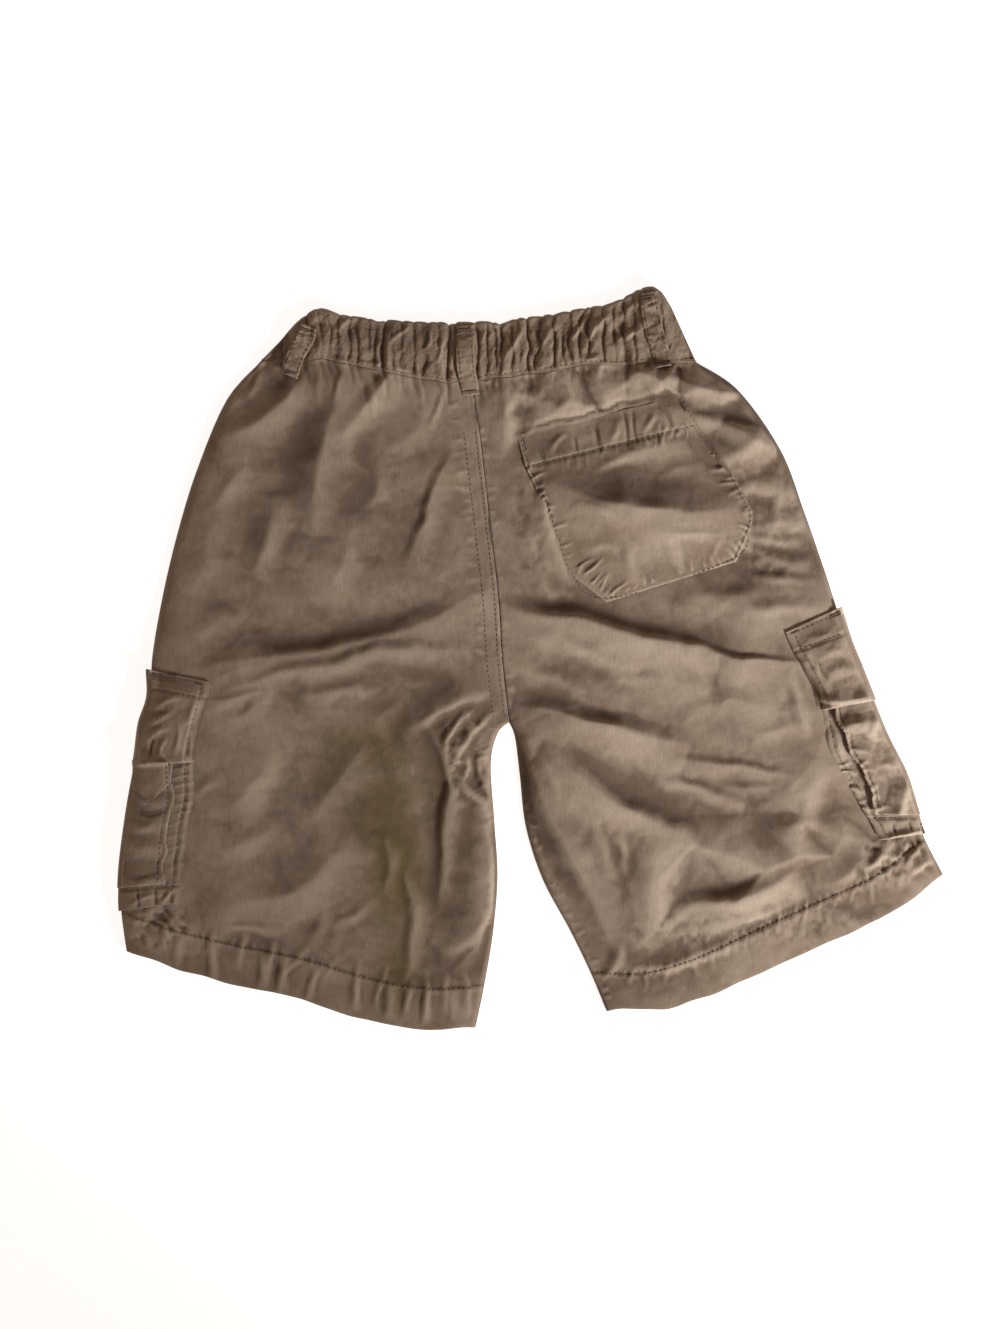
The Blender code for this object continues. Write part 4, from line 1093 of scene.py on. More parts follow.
def back_level(points, edge, side):
    """Outside of a back panel at any points in plan, with all its creases but not its hem and seam."""
    level = fold_level(points, edge)
    still = smoothstep(0, 5, edge)
    drawn_through = wander(wander(points, 3, 26, 35), 1.2, 9, 36)
    small = crease_height({"left": LEFT_CREASES, "right": RIGHT_CREASES}[side], drawn_through)
    drawn = crease_height(PUCKERS[side], wander(points, 1.2, 9, 37))
    rumple = 0.55 * crumple(points, 30, {"left": 40, "right": 60}[side], 1.5, -8)
    for spot in CRUMPLED:
        near = np.hypot((points[..., 0] - spot.x) / spot.half_x, (points[..., 1] - spot.y) / spot.half_y)
        rumple += spot.height * (1 - smoothstep(0.5, 1.1, near)) * crumple(points, spot.size, 70, 1.2, 30)
    swell = 0.8 * noise(points, 55, 61)
    if side == "right":
        small += FACET_RISE * facet_height(FACET_CORNERS, wander(points, 1.2, 12, 38))
        small += facet_height(LEG_CORNERS, wander(points, 2.2, 20, 39))
        under_pocket = 1 - inside_share(SEAT_POCKET_OUTLINE, points, 6)
        small, drawn, rumple = small * under_pocket, drawn * under_pocket, rumple * under_pocket
    return level + still * (small + rumple + swell) + drawn * (0.3 + 0.7 * still)


HEM_RISE, SEAM_RISE, SEAM_WIDTH = 0.7, 0.135, 12.0  # mm
STITCH_DENT = {"left": 0.22, "right": 0.4}  # mm, the groove along the hem's stitching
HEM_CLOTH, SEAM_CLOTH = 0.9, 0.7  # mm that the turned hem and the felled seam add to the thickness
ROLL_DEPTH = 1.25
waist_heights = {}  # of the back cloth along the seam with the waistband


def back_panel(side):
    plan, rows = plans[side]
    edge = outline_distance(plan)
    level = back_level(plan, edge, side)
    from_seam = np.linalg.norm(plan - plan[:, -1:], axis=2)
    hem = smoothstep(STITCHING, STITCHING + 0.05, rows)[:, None]
    level += HEM_RISE * hem
    below_hem_line = nearest_on(hem_lines[side], plan)[0]
    level -= STITCH_DENT[side] * hump(below_hem_line, 0, 1.1)
    beside_seam = (rows <= CROTCH)[:, None]
    if side == "left":
        level += beside_seam * SEAM_RISE * (1 - smoothstep(SEAM_WIDTH - 5, SEAM_WIDTH + 3, from_seam))
        level -= beside_seam * 0.15 * hump(from_seam, 2.2, 0.9)
    seam_groove = 0.35 - 0.25 * smoothstep(30, 110, plan[:, :, 1])
    level -= beside_seam * seam_groove * hump(from_seam, 0, 1.1)
    roll = np.clip(1 - edge / EDGE_ROLL, 0, 1)
    level -= ROLL_DEPTH * (1 - np.sqrt(1 - roll**2))
    from_waist = nearest_on(waist_lines[side], plan)[0]
    bulk = 0.4 + 0.9 * noise(plan, 8, 62)
    level += np.maximum(bulk, -0.2) * hump(from_waist, 0, 2.6)
    floor = under_lift(plan) + 0.95
    felled = beside_seam * (from_seam < SEAM_WIDTH) * (side == "left")
    thickness = CLOTH + HEM_CLOTH * hem + SEAM_CLOTH * felled
    inner = np.maximum(level - thickness, floor)
    outer = np.maximum(level, inner + 0.25)
    marks = patch_marks(plan)
    stands, sinks = worn(outer)
    hem_edge = smoothstep(STITCHING + 0.85, STITCHING + 1.0, rows)[:, None] * np.ones_like(level)
    marks["worn"] = np.clip(stands + 0.5 * hem_edge, 0, 1)
    # Painted shade: in hollows, on the steep flanks of the large folds and in the listed patches
    marks["painted_shade"] = np.clip(sinks + marks["painted_shade"] + fold_shade(plan), 0, 1)
    if side == "right":  # painted shadow in the gap behind the pocket's mouth
        mouth = [SEAT_POCKET_OUTLINE[0], SEAT_POCKET_OUTLINE[-1]]
        from_mouth = nearest_on(mouth, plan)[0]
        marks["painted_shade"] = np.clip(marks["painted_shade"] + 1.2 * hump(from_mouth, 0, 1.3), 0, 1)
    waist_heights[side] = outer[0]
    piece = cloth_piece(f"back_{side}", plan, outer, inner, marks, TWILL)
    print(piece.name, len(piece.data.polygons), "faces")
    return piece


backs = {side: back_panel(side) for side in ("left", "right")}

# %% [markdown]
# ## The front panels
#
# The front lies face down. Its outside rests on the table, so it is flat but for shallow creases that lift
# off it. Nothing of it shows from above except its edges, so a coarser grid is enough.

# %% Front panels
FRONT_CREASES = creases(
    (1.5, 9, 12, (-200, 60), (-150, 48), (-100, 52), (-50, 66)),
    (1.2, 8, 12, (-195, -40), (-150, -30), (-95, -34), (-40, -20)),
    (1.1, 8, 9, (-180, -130), (-140, -112), (-96, -104)),
    (1.4, 10, 10, (-120, 110), (-112, 150), (-96, 182)),
    (0.9, 6, 8, (-70, -150), (-60, -110), (-52, -70)),
    (1.5, 9, 12, (12, 40), (60, 30), (110, 34), (160, 20)),
    (1.3, 9, 12, (14, -60), (60, -80), (110, -84), (160, -100)),
    (1.1, 8, 9, (60, -160), (100, -150), (150, -150)),
    (1.2, 9, 9, (40, 90), (50, 130), (44, 165)),
    (1.0, 8, 9, (110, 150), (130, 120), (140, 90)),
    (0.8, 5, 6, (30, -100), (36, -130), (44, -158)),
    (0.9, 6, 7, (170, 90), (160, 60), (165, 40)),
)


SEAM_DIP = 0.25  # mm


def front_panel(side):
    plan, rows = panel_plan(side, 2.8)
    edge = outline_distance(plan)
    still = smoothstep(2, 12, edge)
    lifted = crease_height(FRONT_CREASES, wander(plan, 4, 30, 39))
    lifted += 0.35 * np.maximum(crumple(plan, 22, 70), 0)
    level = under_lift(plan) + still * lifted
    roll = np.clip(1 - edge / 2.0, 0, 1)
    level += 0.45 * (1 - np.sqrt(1 - roll**2))
    hem = smoothstep(STITCHING, STITCHING + 0.05, rows)[:, None]
    from_seam = np.linalg.norm(plan - plan[:, -1:], axis=2)
    seam_dip = (rows <= CROTCH)[:, None] * SEAM_DIP * hump(from_seam, 0, 1.2)
    top = level + CLOTH + 0.35 * hem
    marks = patch_marks(plan)
    # The front is darker where it stands above the cloth around it, in the mark for painted shade
    marks["worn"], marks["painted_shade"] = np.zeros_like(level), worn(-level)[1]
    marks["stained"] = np.zeros_like(level)  # the marks are on the back only
    return cloth_piece(f"front_{side}", plan, level + seam_dip, top, marks, TWILL)


fronts = {side: front_panel(side) for side in ("left", "right")}
print("fronts:", [len(piece.data.polygons) for piece in fronts.values()], "faces")

# %% [markdown]
# ## The waistband
#
# The back half of the waistband is a tube of cloth with elastic in it. The elastic is shorter than the
# cloth, so the tube bunches into puffy folds between the sharp valleys listed above.

# %% Shape of the band
Band = namedtuple("Band", "place low_share top_x top_y")
BAND_ROWS = rows_of(Band, [
    ("left fold", 0.00, -131, 219),
    ("left corner", 0.04, -118, 231),
    ("left loop", 0.09, -104, 238),
    ("left back", 0.19, -86, 232),
    ("left middle", 0.33, -54, 226),
    ("centre", 0.49, -9, 221),
    ("right middle", 0.66, 36, 221),
    ("right back", 0.80, 80, 225),
    ("right loop", 0.92, 108, 233),
    ("right corner", 0.97, 118, 231),
    ("right fold", 1.00, 125, 219),
])
Notch = namedtuple("Notch", "x depth half_width")
TOP_NOTCHES = rows_of(Notch, [(-66, 1.6, 4), (-19, 0.8, 3), (14, 2.4, 6), (84, 1.2, 8), (50, 0.6, 3)])
WAIST_SEAM = np.concatenate([plans["left"][0][0], plans["right"][0][0][::-1]])
VALLEY_SHARE = 0.41  # of the puff that a valley of depth 1 takes away
STEEP_SHARE = 0.62  # width of a valley's steep right flank, beside the gentle left one


def band_plan(columns, rows):
    """The band's points in plan, their shares along it and their shares of the way up from the panels."""
    run = np.concatenate([[0], np.cumsum(np.linalg.norm(np.diff(WAIST_SEAM, axis=0), axis=1))])
    share = np.linspace(0, 1, columns)
    low = np.column_stack([np.interp(share, run / run[-1], WAIST_SEAM[:, k]) for k in range(2)])
    at = np.interp(share, [row.low_share for row in BAND_ROWS], np.arange(len(BAND_ROWS)))
    top = smooth_rows([(row.top_x, row.top_y) for row in BAND_ROWS], at)
    up = np.linspace(0, 1, rows)
    return low[None] * (1 - up)[:, None, None] + top[None] * up[:, None, None], share, up


def gathers(plan, up):
    """How far the cloth puffs out between its valleys, as a share from 0 in a deep valley to 1 on a crest."""
    x = plan[:, :, 0]
    puff = np.ones(x.shape)
    drift = 1.7 * noise(plan, 12, 91) + 0.8 * noise(plan, 5, 92)
    uneven = 1 + 0.55 * noise(plan, 9, 94)
    for k, valley in enumerate(VALLEYS):
        lean = 1.45 + 0.5 * math.sin(2.3 * k)  # the left flank is the gentle one, by an uneven amount
        centre = valley.foot_x + (valley.top_x - valley.foot_x) * up[:, None] + drift
        reach = smoothstep(valley.from_share - 0.15, valley.from_share + 0.1, up)
        reach = reach * (1 - smoothstep(valley.to_share - 0.1, valley.to_share + 0.15, up))
        off = x - centre
        distance = np.sqrt(np.where(off > 0, off / STEEP_SHARE, off / lean) ** 2 + 0.12)
        strength = VALLEY_SHARE * valley.depth * (0.72 + 0.28 * smoothstep(-100, -62, x))
        puff -= strength * reach[:, None] * uneven * np.exp(-distance / valley.width)
    return puff


# %% Back half, with its elastic
BAND_CREASES = creases(
    (1.2, 3, 4, (-108, 208), (-98, 204), (-84, 201)),
    (1.2, 3, 4, (-86, 202), (-74, 198), (-60, 199)),
    (1.1, 3, 4, (-60, 197), (-46, 190), (-36, 183)),
    (1.0, 2, 3, (-94, 222), (-88, 228), (-80, 230)),
    (1.2, 2, 3, (-58, 212), (-52, 218), (-46, 224)),
    (1.0, 2, 3, (-40, 204), (-34, 210), (-32, 220)),
    (1.0, 2, 3, (-30, 196), (-26, 206), (-25, 216)),
    (1.2, 2, 3, (16, 196), (22, 205), (26, 216)),
    (1.1, 2, 3, (34, 198), (42, 204), (46, 214)),
    (1.6, 2.5, 3, (58, 204), (65, 211), (72, 218)),
    (1.6, 2.5, 3, (66, 202), (72, 207), (78, 212)),
    (1.4, 2.5, 3, (76, 206), (80, 214), (84, 221)),
    (1.2, 3, 4, (34, 183), (46, 180), (60, 181)),
    (1.2, 3, 4, (60, 181), (70, 188), (80, 194)),
    (1.4, 3, 4, (84, 198), (94, 204), (104, 204)),
    (1.2, 3, 4, (88, 214), (96, 218), (104, 226)),
)
BAND_LEVEL, BAND_SWELL = 2.6, 1.21  # mm, the band without its gathers, at its edges and in its middle
BAND_PUFF = 2.9  # mm from the deepest valley to the highest crest
TOP_TURN, TOP_DROP = 0.97, 1.2  # where the top edge turns over, as a share of the height, and how far in mm
JOIN_SHARE, JOIN_DIP = 0.85, 1.4  # how far up the band the panel's level is felt, and its hollow in mm
CASING_PLACE, CASING_WIDTH = 0.15, 0.07  # shares of the height, where thread holds the elastic's casing


def waistband_back():
    plan, share, up = band_plan(520, 72)
    puff = gathers(plan, up)
    scallop = (puff[-1] - puff[-1].mean()) * 3.4 * np.minimum(1, 20 * np.minimum(share, 1 - share))
    for notch in TOP_NOTCHES:
        scallop = scallop - notch.depth * hump(plan[-1, :, 0], notch.x, notch.half_width)
    points, plan = plan, plan.copy()  # points has no notches, so that they move no crease
    plan[:, :, 1] += up[:, None] ** 4 * scallop[None]
    rounded = np.sin(np.pi * np.clip(up * 0.93 + 0.05, 0, 1)) ** 0.35
    ends = np.minimum(1, 14 * np.minimum(share, 1 - share))[None]
    rise = BAND_PUFF * np.clip(puff, 0, 1.1) * ends
    rise += 0.85 * crumple(points, 9, 95, 1.6, 70)
    rise += crease_height(BAND_CREASES, wander(points, 1.5, 9, 99))
    level = BAND_LEVEL + BAND_SWELL * rounded[:, None] - 0.9 * (1 - ends)
    level -= TOP_DROP * np.maximum(up[:, None] - TOP_TURN, 0) / (1 - TOP_TURN)
    seam_heights = np.concatenate([waist_heights["left"], waist_heights["right"][::-1]])
    foot = np.interp(plan[0, :, 0], WAIST_SEAM[:, 0], seam_heights)[None]
    joined, near_seam = smoothstep(0, JOIN_SHARE, up)[:, None], smoothstep(0, 0.10, up)[:, None]
    level = foot * (1 - joined) + level * joined - JOIN_DIP * near_seam * (1 - joined)
    level += rise * rounded[:, None] * near_seam
    casing = 0.05 + 0.75 * noise(points, 10, 93)
    casing -= 0.35 * smoothstep(-10, 30, plan[:, :, 0])
    level -= np.maximum(casing, 0) * hump(up, CASING_PLACE, CASING_WIDTH)[:, None]
    inner = np.maximum(np.minimum(level - 0.9, 3.4), 2.5)
    outer = np.maximum(level, inner + 0.3)
    marks = patch_marks(points)
    stands, sinks = worn(outer)
    # Rubbed wear on the crests, and a painted highlight along the top edge of the band
    marks["worn"] = np.clip(0.8 * stands + 0.6 * smoothstep(0.86, 0.97, up)[:, None], 0, 1)
    # Painted shade in the hollows, in the valleys between the gathers and in the listed patches
    painted_dark = sinks + 0.3 * np.clip(0.6 - puff, 0, 1) + marks["painted_shade"]
    marks["painted_shade"] = np.clip(painted_dark, 0, 1)
    return cloth_piece("waistband_back", plan, outer, inner, marks, TRIM)


def waistband_front():
    plan, share, up = band_plan(170, 16)
    plan[:, :, 1] -= 2.6 * up[:, None] ** 4  # its top edge stays behind the notches of the back half
    level = 0.25 * np.maximum(crumple(plan, 12, 97), 0)
    level += 0.5 * ((up < 0.06) | (up > 0.95))[:, None]
    marks = patch_marks(plan)
    marks["worn"] = marks["painted_shade"] = np.zeros_like(level)
    top = np.full_like(level, 2.0) + 0.1 * noise(plan, 10, 98)
    return cloth_piece("waistband_front", plan, level, top, marks, TRIM)


band_back, band_front = waistband_back(), waistband_front()
print("waistband:", len(VALLEYS), "valleys,", len(band_back.data.polygons), "faces")

# %% [markdown]
# ## The patch pocket on the seat
#
# A patch pocket is a flat piece with its edges turned under, sewn on along three sides. Its mouth has a
# deep hem. It is a little fuller than the panel beneath, so its middle swells, and the edge stitching draws
# it into a fringe of small puckers.

# %% Seat pocket
POCKET_CREASES = creases(
    (0.7, 5, 7, (84, 42), (83, 56), (87, 72)),
    (0.7, 5, 8, (118, 40), (111, 56), (106, 79)),
    (0.6, 3, 4, (137, 50), (138, 57), (140, 64)),
    (1.1, 7, 10, (48, 98), (66, 92), (84, 80)),
    (0.9, 6, 9, (96, 72), (118, 70), (146, 66)),
    (0.7, 6, 9, (98, 118), (116, 124), (132, 122)),
    (0.5, 5, 8, (104, 108), (122, 114), (142, 110)),
    (0.8, 5, 6, (62, 120), (78, 122), (92, 124)),
    (0.8, 5, 6, (52, 66), (66, 70), (80, 66)),
    (1.8, 8, 10, (72, 126), (100, 128), (130, 131)),
    (-0.9, 2.0, 2.0, (33, 124), (32, 136), (31, 146)),
    (-0.8, 1.8, 1.8, (55, 127), (54, 138), (53, 149)),
    (-1.0, 2.2, 2.2, (70, 128), (70, 140), (68, 151)),
    (-0.9, 2.0, 2.0, (88, 130), (88, 143), (86, 154)),
    (-0.8, 1.6, 1.6, (96, 131), (94, 142), (93, 155)),
    (-1.0, 2.4, 2.4, (117, 137), (115, 148), (110, 158)),
    (0.8, 3.0, 3.5, (36, 130), (42, 137), (50, 142)),
    (0.8, 3.0, 4.0, (76, 134), (80, 143), (84, 149)),
    (0.9, 3.0, 4.0, (100, 136), (106, 146), (108, 154)),
)
POCKET_SWELL = 2.2  # mm


def patch_grid(table, cell):
    """Points of a patch in plan, the row numbers of its lines in the table, and their shares across."""
    ends = np.array([row[1:] for row in table], float)
    run = np.concatenate([[0], np.cumsum(np.linalg.norm(np.diff(ends[:, :2], axis=0), axis=1))])
    width = np.linalg.norm(ends[:, 2:] - ends[:, :2], axis=1).max()
    at = np.interp(np.linspace(0, run[-1], int(run[-1] / cell) + 1), run, np.arange(len(table)))
    ends = np.stack([np.interp(at, np.arange(len(table)), ends[:, k]) for k in range(4)], axis=1)
    across = np.linspace(0, 1, int(width / cell) + 1)
    return between(ends, across), at, across


def seat_pocket():
    plan, at, across = patch_grid(SEAT_POCKET, 1.0)
    to_edge = nearest_on(SEAT_POCKET_OUTLINE, plan)[0]  # its three sewn sides are one line
    hem_line = [SEAT_POCKET[1][1:3], SEAT_POCKET[1][3:5]]
    from_hem = nearest_on(hem_line, plan)[0]
    drawn = (
        puckers(SEAT_POCKET_OUTLINE[4:6], 3.4, 17, 0, 0.8, 1.6, 21)
        + puckers(SEAT_POCKET_OUTLINE[1:5], 4.5, 9, -8, 0.9, 1.8, 22, both=0.4)
        + puckers(SEAT_POCKET_OUTLINE[5:7], 7, 10, 0, 0.55, 2.2, 23)
        + puckers(SEAT_POCKET_OUTLINE[6:11], 4.2, 12, 12, 0.9, 1.9, 24, both=0.4)
        + puckers(hem_line[::-1], 6, 8, 15, 0.28, 1.8, 25, both=0.4)
        + puckers([(98, 133), (118, 137), (137, 141)], 3.4, 8, 20, 0.75, 1.7, 26, both=0.9)
    )
    panel_below = fold_level(plan, outline_distance(plan))
    level = panel_below + 0.4
    level += crease_height(POCKET_CREASES, wander(plan, 2.5, 18, 26))
    level += crease_height(drawn, wander(plan, 1.0, 8, 27))
    level += 0.5 * crumple(plan, 26, 28, 1.3, -10) + 0.7 * noise(plan, 30, 29)
    down = np.clip((at - 0.2) / (at[-1] - 0.2), 0, 1)
    level += POCKET_SWELL * np.sin(np.pi * across)[None] * (np.sin(np.pi * down) ** 0.8)[:, None]
    hem = (1 - smoothstep(0.94, 1.04, at))[:, None]
    level += 0.35 * hem - 0.45 * hump(from_hem, 0, 1.1)
    tight = 0.30 + 0.25 * noise(plan, 11, 31)
    level -= tight * hump(to_edge, 2.4, 0.9)
    level = np.maximum(level, panel_below + 0.6)
    turn_down = np.clip(1 - to_edge / 0.9, 0, 1)
    level -= 0.45 * (1 - np.sqrt(1 - turn_down**2))
    inner = np.maximum(level - CLOTH - 0.5 * hem, panel_below + 0.12)
    marks = patch_marks(plan)
    stands, sinks = worn(level)
    low_corner = smoothstep(70, 50, plan[:, :, 1]) * smoothstep(60, 90, plan[:, :, 0])
    rubbed = np.clip(low_corner + 0.3 * noise(plan, 9, 33), 0, 1)
    edge_wear = hump(to_edge, 0, 1.4) * 0.5 * rubbed + 0.4 * hump(at, 0, 0.06)[:, None]
    marks["worn"] = np.clip(stands + edge_wear, 0, 1)
    # Painted shade: in hollows, on the steep flanks of the large folds and in the listed patches
    marks["painted_shade"] = np.clip(sinks + marks["painted_shade"] + 1.2 * fold_shade(plan), 0, 1)
    outer = np.maximum(level, inner + 0.25)
    return cloth_piece("seat_pocket", plan, outer, inner, marks, TWILL)


seat_patch = seat_pocket()
print("seat pocket:", len(seat_patch.data.polygons), "faces")


# %% [markdown]
# ## Belt loops
#
# A loop is a strip folded in three and tacked down at both ends. Its sides are parallel, and it bridges the
# gathers, so it stays flat where the band below it is puffy. The bar tacks pull both ends in.

# %% Belt loops
Loop = namedtuple("Loop", "name top_x top_y end_x end_y")
BELT_LOOPS = rows_of(Loop, [
    ("belt_loop_left", -111, 227, -127, 196),
    ("belt_loop_centre", -11, 219, -11, 173),
    ("belt_loop_right", 110, 230, 115, 180),
])
LOOP_WIDTH = 12.0
LOOP_CRUMPLE = (0.7, 0.35, 0.7)
TACK_PLACES, FOLD_PLACE = (0.07, 0.94), 0.72  # shares of the length, and of the half width


def surface_of(pieces):
    """A search tree over the pieces' faces, for laying another piece on them."""
    points, faces = [], []
    for piece in pieces:
        start = len(points)
        points += [v.co.copy() for v in piece.data.vertices]
        faces += [[start + i for i in p.vertices] for p in piece.data.polygons]
    return BVHTree.FromPolygons(points, faces)


def height_on(surface, points, otherwise=0.0):
    """Height of the topmost surface under each point, in millimetres."""
    heights = np.full(points.shape[:-1], otherwise)
    for at in np.ndindex(heights.shape):
        x, y = points[at]
        hit = surface.ray_cast(Vector((x * MM, y * MM, 0.1)), Vector((0, 0, -1)))[0]
        if hit is not None:
            heights[at] = hit.z / MM
    return heights


def belt_loop(loop, surface, seed):
    start, end = np.array([loop.top_x, loop.top_y], float), np.array([loop.end_x, loop.end_y], float)
    length = np.linalg.norm(end - start)
    along = (end - start) / length
    across = np.array([-along[1], along[0]])
    share = np.linspace(0, 1, 64)
    over = np.linspace(-1, 1, 21)
    pinch = 1 - 0.10 * hump(share, 0.06, 0.05) - 0.08 * hump(share, 0.95, 0.05)
    bend = 0.9 * np.sin(2.2 * np.pi * share + seed)
    plan = (start + (end - start) * share[:, None])[:, None] + across * (
        (over * LOOP_WIDTH / 2)[None, :, None] * pinch[:, None, None] + bend[:, None, None])
    under = height_on(surface, plan)
    ridge = under.max(axis=1)
    for _ in range(10):
        padded = np.pad(ridge, 1, mode="edge")
        ridge = np.maximum(under.max(axis=1), (padded[:-2] + padded[1:-1] + padded[2:]) / 3)
    level = ridge[:, None] + 0.7 + 0.5 * np.sin(np.pi * share)[:, None] - 0.45 * np.abs(over[None]) ** 6
    for place in TACK_PLACES:
        level -= 0.45 * hump(share, place, 0.02)[:, None]
    for place, depth in ((0.08 + 0.05 * seed, 0.3), (0.17, 0.35), (0.45, 0.15), (0.72, 0.2)):
        level -= depth * hump(share[:, None] + 0.03 * over[None], place, 0.018)
    level += LOOP_CRUMPLE[seed] * crumple(plan, 7, 120 + seed)
    for groove in (-FOLD_PLACE, FOLD_PLACE):
        level -= 0.1 * hump(over[None], groove, 0.08)
    inner = np.maximum(level - 1.1, np.minimum(under + 0.1, level - 0.4))
    marks = patch_marks(plan)
    stands, sinks = worn(level)
    marks["worn"] = np.clip(stands + 0.30 * np.abs(over[None]) ** 8, 0, 1)
    # Painted shade in the hollows
    marks["painted_shade"] = sinks
    return cloth_piece(loop.name, plan, level, inner, marks, TRIM)


loop_ground = surface_of([band_back, *backs.values()])
loops = [belt_loop(loop, loop_ground, k) for k, loop in enumerate(BELT_LOOPS)]
print("belt loops:", [piece.name for piece in loops])

# %% [markdown]
# ## Bellows pockets on the sides
#
# A cargo pocket stands off the leg on a gusset, a narrow strip folded like a bellows. Laid flat, it wraps
# round the side of the leg: part of it lies on the back, and the rest goes under the front. Three sheets
# share one grid. The gusset lies on the leg, the face lies on the gusset, and the flap lies on the face.

# %% Grid of a side pocket
SideRow = namedtuple("SideRow", "place side_x side_y rear_x rear_y inset")
LEFT_SIDE_POCKET = rows_of(SideRow, [
    ("flap top", -233, 13, -195, 2, 10),
    ("flap stitching", -237, 1, -197, -9, 10),
    ("flap", -245, -22, -204, -28, 11),
    ("flap edge", -251, -46, -210, -49, 13),
    ("upper", -256, -70, -212, -70, 13),
    ("middle", -262, -97, -218, -93, 13),
    ("lower", -267, -126, -225, -126, 11),
    ("bottom", -268, -141, -227, -139, 11),
])
RIGHT_SIDE_POCKET = rows_of(SideRow, [
    ("flap top", 215, 14, 180, 1, 8),
    ("flap stitching", 220, -2, 184, -12, 8),
    ("flap", 226, -24, 192, -30, 8),
    ("flap edge", 234, -47, 198, -50, 8),
    ("upper", 243, -73, 200, -78, 13),
    ("middle", 250, -96, 209, -97, 13),
    ("lower", 257, -124, 222, -122, 7),
    ("bottom", 261, -136, 229, -139, 6),
])
SIDE_ROWS = {"left": LEFT_SIDE_POCKET, "right": RIGHT_SIDE_POCKET}
FLAP_EDGE, LOWER = 3, 6  # row numbers
LAYER = 1.3  # mm from one sheet of the pocket to the next
POCKET_WALL = 1.0  # mm
UNDER_REACH = 55.0  # mm that a pocket goes in under the front
GRID_ROWS = 166
BACK_COLUMNS, TURN_COLUMNS, UNDER_COLUMNS = 44, 9, 22
TURN_START, TURN_REACH = 1.2, 2.0  # mm, where the sheets turn at the side fold and how far they stand out
REAR_WANDER, INSET_WANDER = {"left": 0.5, "right": 1.3}, 1.6  # mm, since no sewn line here is quite straight


def side_grid(side):
    """Points and outward directions of a side pocket, from the sewn line over the side fold and in under."""
    table = SIDE_ROWS[side]
    at = np.linspace(0, len(table) - 1, GRID_ROWS)
    rows = smooth_rows([row[1:] for row in table], at)
    outline = panel_ends(side, np.linspace(0, STITCHING + 1, 400))[:, :2]
    away = np.linalg.norm(rows[:, None, :2] - outline[None], axis=2)
    side_fold = outline[away.argmin(axis=1)]
    rear = wander(rows[:, 2:4], REAR_WANDER[side], 9, 128)
    inset = rows[:, 4] + INSET_WANDER * noise(rows[:, 2:4], 11, 127)
    width = np.linalg.norm(rear - side_fold, axis=1)
    inwards = (rear - side_fold) / width[:, None]
    share = np.linspace(0, 1, BACK_COLUMNS)
    from_fold = width[:, None] * (1 - share)[None] + TURN_START * share[None]
    on_back = side_fold[:, None] + inwards[:, None] * from_fold[:, :, None]
    top = fold_level(on_back, outline_distance(on_back)) + 0.25
    over = with_height(on_back, top)
    high, low = top[:, -1], np.full(len(at), UNDER_LIFT - GAP)
    turn = np.linspace(0, np.pi, TURN_COLUMNS + 2)[1:-1]
    middle, half = (high + low) / 2, (high - low) / 2
    out = TURN_START - TURN_REACH * np.sin(turn)
    round_side = np.concatenate([
        side_fold[:, None] + inwards[:, None] * out[None, :, None],
        (middle[:, None] + half[:, None] * np.cos(turn)[None])[:, :, None]], axis=2)
    beneath = np.linspace(1.6, UNDER_REACH, UNDER_COLUMNS)
    under = with_height(side_fold[:, None] + inwards[:, None] * beneath[None, :, None],
                        np.broadcast_to(low[:, None], (len(at), UNDER_COLUMNS)))
    up = np.array([0, 0, 1.0])
    outward = np.concatenate([
        np.broadcast_to(up, over.shape),
        -inwards[:, None] * np.sin(turn)[None, :, None] @ np.eye(2, 3) + up * np.cos(turn)[None, :, None],
        np.broadcast_to(-up, under.shape)], axis=1)
    inset_share = inset[:, None] / width[:, None]
    return at, np.concatenate([over, round_side, under], axis=1), outward, share, inset_share


# %% Creases of the side pockets
def rungs(xs, ys, rise, width, slope=0.0):
    """Short level creases one below the other, as where a gusset is drawn up along its seam."""
    return [Crease(rise, width, width, [(xs[0], y - slope), (xs[1], y + slope)]) for y in ys]


